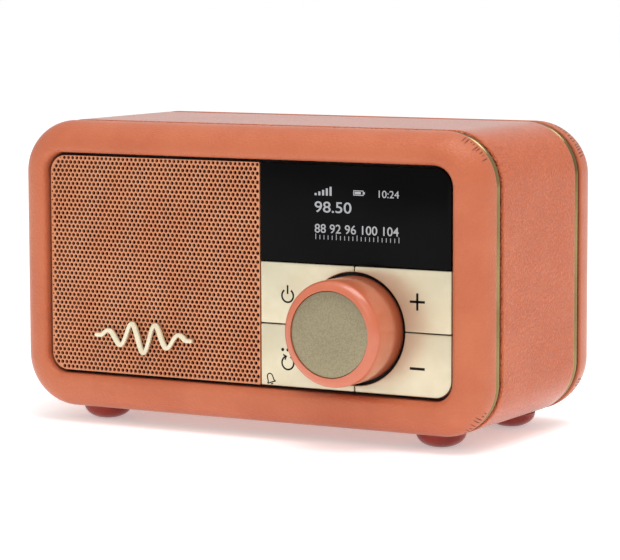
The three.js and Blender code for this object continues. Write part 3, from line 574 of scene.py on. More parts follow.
def cover(name, section, inner, front, lines, gap, lean, node, skin, corner_steps=180, side_steps=36):
    """A leather ring: its outer section, its plain inner one, and folds that start at a gap.

    The folds lean by some degrees of the corner for each mm of their length."""
    steps = {"corner_steps": corner_steps, "side_steps": side_steps}
    outer_levels = [border_level(s, d, front, **steps) for s, d in section]
    inner_levels = [border_level(s, d, front, **steps) for s, d in inner]
    count = len(outer_levels[0])
    per_quarter = corner_steps + side_steps
    travel = np.concatenate([[0], np.cumsum(np.hypot(*np.diff(np.array(section), axis=0).T))]) - SKIN
    shade = np.zeros((len(section) + len(inner), count))
    quarter_angle = np.full(count, -1.0)
    quarter_of = np.zeros(count, int)
    for quarter in range(4):
        first = quarter * per_quarter
        quarter_angle[first : first + corner_steps + 1] = np.linspace(0, 90, corner_steps + 1)
        quarter_of[first : first + per_quarter] = quarter
    for quarter, angle, length, depth in lines:
        slant = lean * travel
        for j, t in enumerate(travel):
            past = max(0.0, t - FULL_SHARE * length)
            fade = math.sqrt(max(0.0, 1 - past / ((1 - FULL_SHARE) * length)))
            start = min(1.0, max(0.0, (t - gap) / FOLD_START))
            if fade <= 0:
                break
            apart = (quarter_angle - angle - slant[j] * (-1 if quarter % 2 else 1)) / FOLD_WIDTH
            mark = np.where((quarter_of == quarter) & (quarter_angle >= 0), np.exp(-(apart**4)), 0)
            shade[j] = np.maximum(shade[j], mark * fade * start * depth)
    # Painted shade along the tucked edge of each seam, deeper as the skin turns in: the dark gap beside the
    # gilt strip.
    seams = (section[0][1], section[-1][1]) if section[-1][0] <= SKIN else (section[0][1],)
    painted_seam_shade = np.zeros(len(shade))
    for j, (inset, depth) in enumerate(section):
        if inset <= SKIN and min(abs(depth - seam) for seam in seams) <= TUCK:
            painted_seam_shade[j] = SEAM_SHADE * inset / SKIN
    points, faces = joined(outer_levels + inner_levels)
    piece = add_piece(name, points, faces, skin, stands_for=[node], sharp=70)
    mesh = piece.data
    if len(mesh.vertices) != len(points):
        raise ValueError(name + " lost points")
    place = np.empty(len(points) * 3)
    normal = np.empty(len(points) * 3)
    mesh.vertices.foreach_get("co", place)
    mesh.vertices.foreach_get("normal", normal)
    move = shade.reshape(-1, 1) * -FOLD_DEPTH * MM
    mesh.vertices.foreach_set("co", (place.reshape(-1, 3) + normal.reshape(-1, 3) * move).ravel())
    # From here the fold value holds the painted shade of the folds and of the seams; only the folds dent the
    # mesh.
    shade = np.maximum(shade, painted_seam_shade[:, None])
    mesh.attributes.new("fold", "FLOAT", "POINT").data.foreach_set("value", shade.ravel())
    mesh.update()
    print(name, "points:", len(points), "folds:", len(lines))


# %% Front cover
front_seam = low_high("front_leather_cover")[1].y
LIP = 1.4


def without_repeats(path):
    """The path with no point that repeats the one before it."""
    return [p for i, p in enumerate(path) if i == 0 or math.dist(p, path[i - 1]) > 1e-3]


def cover_section(seam, face, roll, into):
    """Half a cover in section, as (inset, depth): tuck, roll, crest, lip and wall."""
    away = 1 if seam > face else -1
    deep = abs(seam - face) - TUCK
    path = [(SKIN, seam), (SKIN * 0.7, seam)]
    path += [(s, seam + away * (d - TUCK)) for s, d in arc((TUCK, 0), (TUCK, TUCK), 90, 180, 5)]
    path += [(s, face + away * d) for s, d in arc((roll, deep), (roll, deep), 180, 270, 44)]
    if roll < BORDER - LIP:
        path += [(roll + (BORDER - LIP - roll) * t, face) for t in (0.33, 0.66)]
    path += [(s, face + away * d) for s, d in arc((BORDER - LIP, LIP), (LIP, LIP), 270, 360, 8)]
    path.append((BORDER, into))
    inner = [(BORDER - 0.7, into), (BORDER - 0.7, face + away * (LIP + 0.6))]
    inner += [(roll + SKIN, face + away * (SKIN + 0.6)), (3.0, face + away * (deep * 0.36 + SKIN))]
    inner += [(1.4, face + away * deep * 0.8), (SKIN + 0.02, seam - away * 0.3)]
    return without_repeats(path), inner


front_path, front_inner = cover_section(front_seam, FRONT, 6.6, FRONT + 5.0)
front_folds = folds(3, {1: (34, 66, 3.7), 0: (25, 62, 4.6), 2: (30, 62, 3.9), 3: (28, 60, 4.4)}, 3.7)
cover("front_leather", front_path, front_inner, True, front_folds, 0.9, 0.9, "front_leather_cover",
                    leather_smooth)

# %% Rear cover
rear_seam = low_high("rear_leather_cover")[0].y
rear_path, rear_inner = cover_section(rear_seam, REAR, 5.0, REAR - 3.8)
rear_folds = folds(8, {1: (20, 80, 3.5), 0: (20, 70, 4.6), 2: (15, 78, 3.8), 3: (20, 72, 4.6)}, 6.5)
cover("rear_leather", rear_path, rear_inner, False, rear_folds, 0.8, -0.8, "rear_leather_cover",
                   leather_smooth)

# %% Side wrap, with its tucked edges
wrap_from, wrap_to = body_low.y, body_high.y
wrap_path = [(SKIN, wrap_from), (SKIN * 0.7, wrap_from)]
wrap_path += [(s, wrap_from + TUCK - d) for s, d in arc((TUCK, 0), (TUCK, TUCK), 90, 180, 5)]
wrap_flat = wrap_to - wrap_from - 2 * TUCK
wrap_path += [(0, wrap_from + TUCK + wrap_flat * t) for t in np.linspace(0.04, 0.96, 22)]
wrap_path += [(s, wrap_to - TUCK + d) for s, d in arc((TUCK, 0), (TUCK, TUCK), 180, 90, 5)]
wrap_path = without_repeats(wrap_path + [(SKIN * 0.7, wrap_to), (SKIN, wrap_to)])
wrap_inner = [(SKIN + 0.02, wrap_to - 1), (SKIN + 0.02, wrap_from + 1)]
cover("side_leather", wrap_path, wrap_inner, True, [], 0, 0, "side_leather_wrap",
                  leather_grained, 40, 30)

# %% [markdown]
# ## Gilt strips
# A thin strip of gilt metal sits in each seam and hides the cut edges of the leather. It is
# a shallow bead, so it shows a bright line with a darker one beside it.

# %% Gilt strips
gilt = finish("gilt", (150, 133, 88), (122, 107, 66), rough=0.24, metal=1.0, patch=30, fleck=0.2,
              wear=0.5, worn=(212, 192, 146), dust=0.05)
for node in ("front_trim_strip", "rear_trim_strip"):
    low, high = low_high(node)
    centre, half = (low.y + high.y) / 2, (high.y - low.y) / 2
    crown = half - 0.18
    bead = [(1.6, centre - half), (1.15, centre - half), (1.15, centre - crown)]
    bead += [(s, centre + d) for s, d in arc((1.1, 0), (0.85, crown), 270, 90, 12)]
    bead += [(1.15, centre + crown), (1.15, centre + half), (1.6, centre + half)]
    bead = without_repeats(bead)
    levels = [border_level(s, d, True, corner_steps=48, side_steps=4) for s, d in bead]
    add_piece(node.replace("_strip", ""), *joined(levels), gilt, stands_for=[node])
print("gilt strip width in mm:", round(2 * half, 2))

# %% [markdown]
# ## Perforated grille
# The grille is thin sheet with rows of small holes, each row set over by half a pitch.
# Blender's flat curves fill an outline and leave holes where closed curves lie inside it,
# so the sheet is one such curve, given a thickness and turned into a mesh.

# %% Grille sheet
grille_paint = finish(
    "grille_paint", (210, 140, 99), (202, 129, 88), rough=0.42, rough_drift=0.04, metal=0.25,
    patch=14, fleck=0.2, grain=(0.25, 1.0, 0.8, 0.01), wear=0.2, worn=(226, 172, 138),
)
HOLE_PITCH = 1.221
HOLE_ROW = 1.054
HOLE_RADIUS = 0.48
FASCIA_RADIUS = 4.2
grille_low, grille_high = low_high("speaker_grille")
grille_path = softened([
    (grille_low.x, grille_low.z, FASCIA_RADIUS), (grille_high.x, grille_low.z, 0.2),
    (grille_high.x, grille_high.z, 0.2), (grille_low.x, grille_high.z, FASCIA_RADIUS),
], 16)


def edge_distance(x, z):
    """How far a point is inside the grille's outline."""
    near = min(grille_high.x - x, z - grille_low.z, grille_high.z - z, x - grille_low.x)
    cx = grille_low.x + FASCIA_RADIUS
    for cz, below in ((grille_low.z + FASCIA_RADIUS, True), (grille_high.z - FASCIA_RADIUS, False)):
        if x < cx and (z < cz) == below:
            near = min(near, FASCIA_RADIUS - math.hypot(x - cx, z - cz))
    return near


def circle(x, z, radius, sides=12):
    """A round outline."""
    angles = np.arange(sides) * 2 * math.pi / sides
    return [(x + radius * math.cos(a), z + radius * math.sin(a)) for a in angles]


def perforated(name, path, holes, front, thick, material, ease=0.0, **riding):
    """A sheet with an outline for each hole, made from a filled flat curve, with eased edges."""
    curve = bpy.data.curves.new(name, "CURVE")
    curve.dimensions = "2D"
    curve.fill_mode = "BOTH"
    curve.extrude = (thick / 2 - ease) * MM
    curve.bevel_depth = ease * MM
    curve.bevel_resolution = 2
    curve.offset = -ease * MM
    loops = [path] + holes
    for loop in loops:
        spline = curve.splines.new("POLY")
        spline.points.add(len(loop) - 1)
        flat = np.array([(x * MM, z * MM, 0, 1) for x, z in loop]).ravel()
        spline.points.foreach_set("co", flat)
        spline.use_cyclic_u = True
    points, faces = filled(curve)
    points = points / MM
    placed = np.column_stack([points[:, 0], front + thick / 2 + points[:, 2], points[:, 1]])
    return add_piece(name, placed, faces, material, **riding)


FIRST_ROW, FIRST_HOLE = 0.55, 0.35  # from the sheet's top edge and from its left edge
PLAIN_EDGE, SMALLEST_HOLE = 0.12, 0.15
holes = []
rows = int((grille_high.z - grille_low.z) / HOLE_ROW) + 1
columns = int((grille_high.x - grille_low.x) / HOLE_PITCH) + 2
for row in range(rows):
    z = grille_high.z - FIRST_ROW - row * HOLE_ROW
    for column in range(columns):
        x = grille_low.x + FIRST_HOLE + (column + 0.5 * (row % 2)) * HOLE_PITCH
        room = edge_distance(x, z) - PLAIN_EDGE
        if room > SMALLEST_HOLE:
            holes.append(circle(x, z, min(HOLE_RADIUS, room)))
perforated("grille", grille_path, holes, grille_low.y, 0.7, grille_paint,
                    stands_for=["speaker_grille"])
print("holes in the grille:", len(holes))

# %% [markdown]
# ## Badge
# The badge is a plain ornament, a level sound wave that swells and fades, cast in one piece
# and held off the grille on two posts. A section with soft edges is swept along the wave,
# a little wider where the stroke falls, so that it catches the light unevenly.

# %% Badge
cream_cast = finish("cream_cast", (226, 219, 192), (212, 202, 170), rough=0.36, metal=0.15, patch=6,
                    fleck=0.3, wear=0.3, worn=(246, 242, 226), Coat_Weight=0.2, Coat_Roughness=0.2)
badge_low, badge_high = low_high("badge")
badge_front, badge_back = badge_low.y, badge_low.y + 0.9
badge_middle = (-28.0, MIDDLE_Z - 16.6)
WAVE_LENGTH, WAVE_END, HALF_WAVES, WAVE_HEIGHT = 24.0, 2.0, 7, 3.8


def square_to(path):
    """The path as an array, and the unit direction across it at each point."""
    p = np.array(path, float)
    ahead = np.gradient(p, axis=0)
    ahead /= np.linalg.norm(ahead, axis=1)[:, None]
    return p, np.column_stack([-ahead[:, 1], ahead[:, 0]])


def swept_stroke(path, widths, front, back, ease=0.2):
    """Points and faces of a flat stroke with soft edges, swept along a path of (x, z)."""
    p, across = square_to(path)
    middle_y, half_thick = (front + back) / 2, (back - front) / 2
    levels = []
    for centre, side, half in zip(p, across, widths):
        soft = min(ease, half)
        section = []
        for sx, sy, start in ((1, -1, 270), (1, 1, 0), (-1, 1, 90), (-1, -1, 180)):
            for angle in (start, start + 30, start + 60, start + 90):
                a = math.radians(angle)
                u = sx * (half - soft) + soft * math.cos(a)
                v = sy * (half_thick - ease) + ease * math.sin(a)
                section.append((centre[0] + side[0] * u, middle_y + v, centre[1] + side[1] * u))
        levels.append(np.array(section))
    return capped(levels)


def rounded_ends(widths, ends=6):
    """Widths that close in a half round at both ends."""
    shaped = np.array(widths, float)
    for i in range(ends):
        share = math.sqrt(1 - (1 - (i + 0.35) / ends) ** 2)
        shaped[i] *= share
        shaped[-1 - i] *= share
    return shaped


def wave_point(t):
    """A point of the sound wave, from its left end at 0 to its right end at 1."""
    along = (t - 0.5) * (WAVE_LENGTH + 2 * WAVE_END)
    inside = along / WAVE_LENGTH + 0.5
    swell = 0.3 + 0.7 * math.sin(math.pi * inside) ** 2
    height = WAVE_HEIGHT * swell * math.sin(math.pi * HALF_WAVES * inside) if 0 < inside < 1 else 0
    return badge_middle[0] + along, badge_middle[1] + height


wave_path = [wave_point(t) for t in np.linspace(0, 1, 400)]
kernel = np.ones(9) / 9
eased = np.convolve(np.pad([z for _, z in wave_path], 4, mode="edge"), kernel, mode="valid")
wave_path = [(x, z) for (x, _), z in zip(wave_path, eased)]
climb = np.gradient([z for _, z in wave_path]) / np.hypot(*np.gradient(np.array(wave_path), axis=0).T)
STROKE_HALF, STROKE_SWELL = 0.5, 0.16
wave_widths = rounded_ends(STROKE_HALF + STROKE_SWELL * np.maximum(0, -climb), 7)
post_reach = WAVE_LENGTH / 2 + WAVE_END - 0.7
POST_RADIUS = 0.4
post = [(POST_RADIUS, 0), (POST_RADIUS, grille_low.y - badge_back)]
posts = [
    turned(post, (badge_middle[0] + side * post_reach, badge_back, badge_middle[1]), steps=20)
    for side in (-1, 1)
]
add_piece("badge_wave", *together(swept_stroke(wave_path, wave_widths, badge_front, badge_back), *posts),
          cream_cast, stands_for=["badge"], sharp=50)
print("badge width in mm:", round(badge_high.x - badge_low.x, 1))

# %% [markdown]
# ## Display
# The window is a polished black sheet. The lit characters lie under it in the real thing;
# here they are thin plates on its face, with an even glow. Only numbers and plain signs are
# shown: signal bars, a battery, the time, a frequency and the marks of a tuning scale.

# %% Window
window_black = finish("window_black", (9, 9, 10), (6, 6, 7), rough=0.12, rough_drift=0.03, patch=20,
                      fleck=0.1, dust=0.03, Specular_IOR_Level=0.05)
window_low, window_high = low_high("display_window")
window_path = softened([
    (window_low.x, window_low.z, 0.25), (window_high.x, window_low.z, 0.25),
    (window_high.x, window_high.z, FASCIA_RADIUS), (window_low.x, window_high.z, 0.25),
], 14)
add_piece("window", *sheet_solid(window_path, window_low.y, window_high.y, 0.15), window_black,
          stands_for=["display_window"])

# %% Lit characters
lit = finish("lit_characters", (120, 121, 123), (108, 109, 111), rough=0.5, Emission_Strength=0.4)
shader_of(lit).inputs["Emission Color"].default_value = srgb(200, 202, 205)
GLOW_THICK = 0.02
LETTER_HALF = 0.004  # half a letter's thickness before it is scaled, in heights of the letter
TEXT_LEFT = 19.4
ROW_HEIGHTS = {"top": 59.0, "big": 55.0, "scale": 50.2}


def characters(text, x, z, height, bold=0.0, width=None):
    """Points and faces of a line of characters, standing on z, at its left end x."""
    curve = bpy.data.curves.new("characters", "FONT")
    curve.body = text
    curve.size = 1.0
    curve.offset = bold
    curve.extrude = LETTER_HALF
    points, faces = filled(curve)
    scale = height / (points[:, 1].max() - points[:, 1].min())
    squeeze = width / (points[:, 0].max() - points[:, 0].min()) if width else scale
    placed = np.column_stack([
        x + (points[:, 0] - points[:, 0].min()) * squeeze,
        window_low.y - GLOW_THICK / 2 + points[:, 2] / LETTER_HALF * GLOW_THICK / 2,
        z + (points[:, 1] - points[:, 1].min()) * scale,
    ])
    return placed, faces


def tile(x0, x1, z0, z1, front=None, thick=GLOW_THICK):
    """A thin rectangular plate on the window's face."""
    face = window_low.y if front is None else front
    points = [(x, y, z) for y in (face - thick, face) for z in (z0, z1) for x in (x0, x1)]
    faces = [(0, 1, 3, 2), (4, 6, 7, 5), (0, 4, 5, 1), (2, 3, 7, 6), (0, 2, 6, 4), (1, 5, 7, 3)]
    return np.array(points), faces


top, big, scale_row = (ROW_HEIGHTS[k] for k in ("top", "big", "scale"))
signal = [tile(TEXT_LEFT + 1.0 * i, TEXT_LEFT + 0.55 + 1.0 * i, top, top + 0.5 + 0.4 * i) for i in range(5)]
battery = [
    tile(29.7, 32.4, top + 0.3, top + 0.48), tile(29.7, 32.4, top + 1.32, top + 1.5),
    tile(29.7, 29.88, top + 0.48, top + 1.32), tile(32.22, 32.4, top + 0.48, top + 1.32),
    tile(32.4, 32.75, top + 0.65, top + 1.15), tile(30.05, 31.7, top + 0.62, top + 1.18),
]
TICK_PITCH, TICK_WIDTH = 1.1, 0.16
ticks = []
for i in range(21):
    left = TEXT_LEFT + 0.2 + TICK_PITCH * i
    ticks.append(tile(left, left + TICK_WIDTH, scale_row - 1.5, scale_row - (0.5 if i % 5 else 0.2)))
add_piece(
    "display_characters",
    *together(
        *signal, *battery,
        characters("10:24", 36.4, top, 1.7, 0.0, 5.3),
        characters("98.50", TEXT_LEFT, big, 2.6, 0.006, 9.8),
        characters("88 92 96 100 104", TEXT_LEFT, scale_row, 2.1, 0.006, 22.2),
        *ticks,
    ),
    lit,
)

# %% [markdown]
# ## Keys
# Four cream keys share the space round the knob. Each is a plate cut to a rectangle with a
# quarter of a circle taken out for the knob, eased at its edges, with a stem behind it. The
# signs are printed, so they are films of ink that lie on the key and move with it.

# %% Key plates
cream_satin = finish(
    "cream_satin", (217, 209, 182), (209, 199, 170), rough=0.34, rough_drift=0.05, metal=0.6,
    patch=14, fleck=0.35, grain=(0.22, 0.35, 0.9, 0.006), wear=0.2, worn=(232, 226, 204), dust=0.05,
)
ink = finish("ink", (14, 12, 11), (9, 8, 7), rough=0.6, patch=3, fleck=0.3, Specular_IOR_Level=0.15)
knob_middle = middle("tuning_knob")
knob_front = low_high("tuning_knob")[0].y
WELL_RADIUS = 13.35
KEY_BODIES = ("power", "menu", "volume_up", "volume_down")
KEY_THICK = 1.6
STEM_RADIUS = 1.5
STEM_ASIDE, STEM_UP = 17, 9  # from the knob's middle


def key_outline(low, high):
    """A key's outline, anticlockwise, with the knob's well cut out of its inner corner."""
    kx, kz = knob_middle.x, knob_middle.z
    left, above = high.x < kx, low.z > kz
    outer = FASCIA_RADIUS if (not left and not above) else 0.3
    inner_x, outer_x = (high.x, low.x) if left else (low.x, high.x)
    inner_z, outer_z = (low.z, high.z) if above else (high.z, low.z)
    reach_x = math.sqrt(WELL_RADIUS**2 - (inner_z - kz) ** 2)
    reach_z = math.sqrt(WELL_RADIUS**2 - (inner_x - kx) ** 2)
    side_x, side_z = (-1 if left else 1), (1 if above else -1)
    a0 = math.degrees(math.atan2(side_z * reach_z, inner_x - kx))
    a1 = math.degrees(math.atan2(inner_z - kz, side_x * reach_x))
    turn = (a1 - a0 + 180) % 360 - 180
    notch = arc((kx, kz), WELL_RADIUS, a0, a0 + turn, 20)
    ring = [(x, z, 0) for x, z in notch]
    ring += [(outer_x, inner_z, 0.3), (outer_x, outer_z, outer), (inner_x, outer_z, 0.3)]
    area = sum(ring[i - 1][0] * ring[i][1] - ring[i][0] * ring[i - 1][1] for i in range(len(ring)))
    return softened(ring if area > 0 else ring[::-1], 10)


for body in KEY_BODIES:
    node = body + "_key"
    low, high = low_high(node)
    stem_x = knob_middle.x + math.copysign(STEM_ASIDE, middle(node).x - knob_middle.x)
    stem_z = knob_middle.z + math.copysign(STEM_UP, middle(node).z - knob_middle.z)
    plate = sheet_solid(key_outline(low, high), low.y, low.y + KEY_THICK, 0.22)
    stem_long = high.y - low.y - KEY_THICK
    stem = turned([(STEM_RADIUS, 0), (STEM_RADIUS, stem_long)], (stem_x, low.y + KEY_THICK, stem_z), steps=20)
    add_piece(node + "_face", *together(plate, stem), cream_satin, body=body,
              stands_for=[node])
key_face = low_high("power_key")[0].y

# %% Printed signs
INK_THICK = 0.02
INK_SUNK = 0.01  # the film's underside is this far inside the key, so that no gap shows


def line(path, width):
    """A film of ink along a path of (x, z)."""
    p, across = square_to(path)
    across = across * width / 2
    above, under = key_face - INK_THICK, key_face + INK_SUNK
    return capped([
        np.array([(a[0], above, a[1]), (b[0], above, b[1]), (b[0], under, b[1]), (a[0], under, a[1])])
        for a, b in zip(p + across, p - across)
    ])


def dot(x, z, radius):
    """A round film of ink."""
    return turned([(radius, 0), (radius, INK_THICK + INK_SUNK)], (x, key_face - INK_THICK, z), steps=20)


def leaned(path, centre, degrees):
    """A path turned about a point."""
    a = math.radians(degrees)
    return [
        (centre[0] + (x - centre[0]) * math.cos(a) - (z - centre[1]) * math.sin(a),
         centre[1] + (x - centre[0]) * math.sin(a) + (z - centre[1]) * math.cos(a))
        for x, z in path
    ]


power_x, power_z = 11.95, 34.9
loop_x, loop_z = 11.95, 18.9
bell = (7.2, 14.8)
bell_side = [(-1.15, -0.85), (-0.8, -0.45), (-0.75, 0.35)]
bell_dome = arc((0, 0.45), (0.75, 0.85), 180, 0, 10)


def bell_line(path, width):
    """A line of the small bell, which leans to the left."""
    return line(leaned([(bell[0] + x, bell[1] + z) for x, z in path], bell, 18), width)


signs = {
    "power_sign": ("power", [
        line(arc((power_x, power_z), 1.55, 125, 415, 40), 0.44),
        line([(power_x, power_z + 0.4), (power_x, power_z + 2.5)], 0.44),
    ]),
    "menu_sign": ("menu", [
        line(arc((loop_x, loop_z), 1.6, 105, 425, 44), 0.42),
        line([(loop_x + x, loop_z + z) for x, z in ((-1.3, 1.9), (-0.35, 1.55), (-0.8, 0.7))], 0.36),
        *[dot(loop_x + 1.4 * i, loop_z + 3.1, 0.4) for i in (-1, 0, 1)],
        bell_line(bell_side + bell_dome + [(0.8, -0.45), (1.15, -0.85)], 0.28),
        bell_line([(-1.15, -0.85), (1.15, -0.85)], 0.28),
        bell_line([(-0.3, -1.25), (0.3, -1.25)], 0.3),
    ]),
    "plus_sign": ("volume_up", [
        line([(44.45, 35.3), (48.35, 35.3)], 0.58),
        line([(46.4, 33.3), (46.4, 37.3)], 0.58),
    ]),
    "minus_sign": ("volume_down", [line([(44.45, 19.75), (48.35, 19.75)], 0.62)]),
}
for name, (body, strokes) in signs.items():
    add_piece(name, *together(*strokes), ink, body=body)
print("printed signs:", len(signs))

# %% [markdown]
# ## Knob
# The knob is turned with a broad soft edge and lacquered in coral. A disc of spun
# champagne metal is let into its face. The spinning tool leaves rings that are too fine to
# see one by one, so the disc has fine rings in its bump and a speckle in its tone.

# %% Knob
knob_lacquer = finish(
    "knob_lacquer", (200, 104, 68), (191, 96, 61), rough=0.36, rough_drift=0.05, patch=16, fleck=0.08,
    grain=(0.5, 1.0, 0.9, 0.02), dust=0.05, Coat_Weight=0.8, Coat_Roughness=0.24,
)
KNOB_RADIUS = (low_high("tuning_knob")[1].x - low_high("tuning_knob")[0].x) / 2
KNOB_ROUND = 2.3
knob_length = low_high("tuning_knob")[1].y - knob_front
knob_at = (knob_middle.x, knob_front, knob_middle.z)
knob_profile = [(3.1, 2.6), (3.1, 1.2), (10.15, 1.2), (10.15, 0.32)]
knob_profile += arc((10.3, 0.32), (0.15, 0.3), 180, 270, 3)
knob_profile += arc((KNOB_RADIUS - KNOB_ROUND, KNOB_ROUND), KNOB_ROUND, 270, 360, 14)
knob_profile += [(KNOB_RADIUS, knob_length * 0.5), (KNOB_RADIUS, knob_length - 0.3)]
knob_profile += [(KNOB_RADIUS - 0.3, knob_length), (KNOB_RADIUS - 1.8, knob_length)]
knob_profile += [(KNOB_RADIUS - 1.8, 3.6), (4.8, 3.6), (4.8, 12.4), (3.1, 12.4)]
add_piece("knob", *turned(knob_profile, knob_at, steps=128, closed=True), knob_lacquer, body="knob_turn",
          stands_for=["tuning_knob"], sharp=50)

# %% Knob disc
# The disc's tone is darker than the keys' champagne metal: painted reflection of the darker surroundings that
# it faces.
spun_metal = finish("spun_metal", (153, 143, 116), (138, 128, 102), rough=0.42, rough_drift=0.05,
                    metal=0.8, patch=0.35, fleck=0.5, Anisotropic=0.4)
g = Graph(spun_metal.node_tree)
surface = shader_of(spun_metal)
place = g.place()
knob_axis = (knob_middle.x * MM, 0, knob_middle.z * MM)
offset = g.node("ShaderNodeVectorMath", {0: place, 1: knob_axis}, operation="SUBTRACT")
flat = g.node("ShaderNodeVectorMath", {0: offset.outputs[0], 1: (1.0, 0.0, 1.0)}, operation="MULTIPLY")
from_middle = g.node("ShaderNodeVectorMath", {0: flat.outputs[0]}, operation="LENGTH").outputs["Value"]
rings = g.node("ShaderNodeTexNoise", {"W": g.times(from_middle, 9000.0), "Scale": 1.0},
               noise_dimensions="1D")
raised = g.node("ShaderNodeBump", {"Strength": 0.5, "Distance": 0.00002, "Height": rings.outputs["Fac"]})
g.give(surface.inputs["Normal"], raised.outputs[0])
cap_low, cap_high = low_high("knob_cap")
cap_radius = (cap_high.x - cap_low.x) / 2
cap_profile = [(0, 0.06), (6, 0.04), (cap_radius - 0.35, 0.0), (cap_radius - 0.1, 0.06), (cap_radius, 0.2),
               (cap_radius, cap_high.y - cap_low.y), (0, cap_high.y - cap_low.y)]
add_piece("knob_disc", *turned(cap_profile, (knob_middle.x, cap_low.y, knob_middle.z), steps=96), spun_metal,
          body="knob_turn", stands_for=["knob_cap"])

# %% [markdown]
# ## Feet
# Four small domes, turned and lacquered in a deeper coral, with a flat ground on each so
# that the radio stands still. Their colour is partly that deeper lacquer and partly painted
# shade from the cabinet above them.

# %% Feet
# Partly the feet's own deeper coral, and partly painted shade from sitting under the cabinet.
foot_lacquer = finish("foot_lacquer", (146, 46, 33), (128, 38, 28), rough=0.25, patch=5, fleck=0.1,
                      wear=0.2, worn=(180, 84, 64), Specular_IOR_Level=0.3, Coat_Weight=0.2,
                      Coat_Roughness=0.1)
FLAT, PEG = 1.1, 2.2  # radius of the flat that stands on the table, and of the peg in the cabinet
for node in [n for n in frame["nodes"] if n.startswith("foot_")]:
    low, high = low_high(node)
    centre = middle(node)
    radius = (high.x - low.x) / 2
    stand = body_low.z - low.z
    tall = high.z - low.z
    profile = [(0, 0), (FLAT, 0)]
    profile += [(FLAT + (radius - FLAT) * math.sin(a), stand * (1 - math.cos(a)) * 0.96)
                for a in np.radians(np.linspace(6, 90, 18))]
    profile += [(radius - 0.15, stand - 0.03), (PEG, stand - 0.03), (PEG, tall), (0, tall)]
    ball = turned(profile, (centre.x, centre.y, low.z), "up", 64)
    add_piece(node.replace("foot_", "ball_foot_"), *ball, foot_lacquer, stands_for=[node])

# %% [markdown]
# ## Rear panel
# The back of the radio is one black moulding. Its openings are cut in the same way as the
# grille's, and their edges are eased, because a moulded edge is never quite sharp. The
# slotted guard over the passive radiator is pressed metal in the grille's paint.

# %% Finishes for the rear
black_moulding = finish("black_moulding", (40, 39, 39), (30, 29, 29), rough=0.55, patch=14, fleck=0.3,
                        grain=(0.45, 1.0, 0.3, 0.05), wear=0.3, worn=(70, 68, 66), dust=0.12)
steel = finish("steel", (196, 197, 200), (168, 169, 172), rough=0.32, metal=1.0, patch=8, fleck=0.2,
               grain=(0.3, 4.0, 0.9, 0.006), wear=0.3, worn=(230, 230, 232), dust=0.1)
bright_plating = finish("bright_plating", (200, 201, 204), (184, 185, 188), rough=0.14,
                        rough_drift=0.04, metal=1.0, patch=20, fleck=0.1, wear=0.2,
                        worn=(232, 232, 234), dust=0.08)


# %% Rear panel and its guard
def stadium(x, z, half_width, half_height, radius, steps=12):
    """A rounded rectangle about a point."""
    sides = [(-1, -1), (1, -1), (1, 1), (-1, 1)]
    return softened([(x + sx * half_width, z + sz * half_height, radius * 0.99) for sx, sz in sides], steps)


def spread(node):
    """A solid's middle, half width and half height, seen from the front."""
    low, high = low_high(node)
    return (low.x + high.x) / 2, (low.z + high.z) / 2, (high.x - low.x) / 2, (high.z - low.z) / 2


panel_low, panel_high = low_high("rear_panel")
guard_x, guard_z, guard_wide, guard_high = spread("radiator_guard")
usb_x, usb_z, usb_wide, usb_high = spread("usb_socket")
jack_x, jack_z, jack_wide, jack_high = spread("headphone_socket")
turret_x, turret_z = spread("aerial_turret")[:2]
screw_nodes = [name for name in frame["nodes"] if name.startswith("panel_screw_")]
FIT, JACK_RADIUS, STEM_HOLE, SCREW_HOLE, RIM, PANEL_RADIUS = 0.3, 3.0, 2.5, 1.3, 2.0, 6.8
panel_holes = [
    stadium(guard_x, guard_z, guard_wide - RIM, guard_high - RIM, guard_high - RIM),
    stadium(usb_x, usb_z, usb_wide + FIT, usb_high + FIT, usb_high + FIT),
    circle(jack_x, jack_z, JACK_RADIUS + FIT, 48),
    circle(turret_x, turret_z, STEM_HOLE, 32),
]
panel_holes += [circle(*spread(name)[:2], SCREW_HOLE, 24) for name in screw_nodes]
panel_x, panel_z, panel_wide, panel_tall = spread("rear_panel")
panel_edge = stadium(panel_x, panel_z, panel_wide, panel_tall, PANEL_RADIUS, 16)
perforated("rear_moulding", panel_edge, panel_holes, panel_low.y, panel_high.y - panel_low.y,
           black_moulding, 0.18, stands_for=["rear_panel"])
SLOT_PITCH, SLOT_HALF = 3.9, 1.0
slots_in_guard = [
    stadium(guard_x, guard_z + row * SLOT_PITCH, guard_wide - 4.5 - abs(row) * 1.7, SLOT_HALF, SLOT_HALF, 8)
    for row in range(-3, 4)
]
guard_front, guard_back = (v.y for v in low_high("radiator_guard"))
guard_edge = stadium(guard_x, guard_z, guard_wide, guard_high, guard_high, 24)
perforated("rear_guard", guard_edge, slots_in_guard, guard_front, guard_back - guard_front,
           grille_paint, 0.22, stands_for=["radiator_guard"])
print("openings in the rear panel:", len(panel_holes), "slots in its guard:", len(slots_in_guard))


# %% Screws with a cross recess
def carved(piece, *cutters):
    """Cuts closed shapes out of a piece and keeps the result as its mesh."""
    tools = []
    for points, faces in cutters:
        mesh = bpy.data.meshes.new("cutter")
        mesh.from_pydata([tuple(float(c) * MM for c in p) for p in points], [], faces)
        tool = bpy.data.objects.new("cutter", mesh)
        bpy.context.scene.collection.objects.link(tool)
        cut = piece.modifiers.new("cut", "BOOLEAN")
        cut.operation, cut.object, cut.solver = "DIFFERENCE", tool, "EXACT"
        tools.append(tool)
    shaped = bpy.data.meshes.new_from_object(piece.evaluated_get(bpy.context.evaluated_depsgraph_get()))
    piece.modifiers.clear()
    piece.data = shaped
    shaped.set_sharp_from_angle(angle=math.radians(40))
    for tool in tools:
        bpy.data.objects.remove(tool)


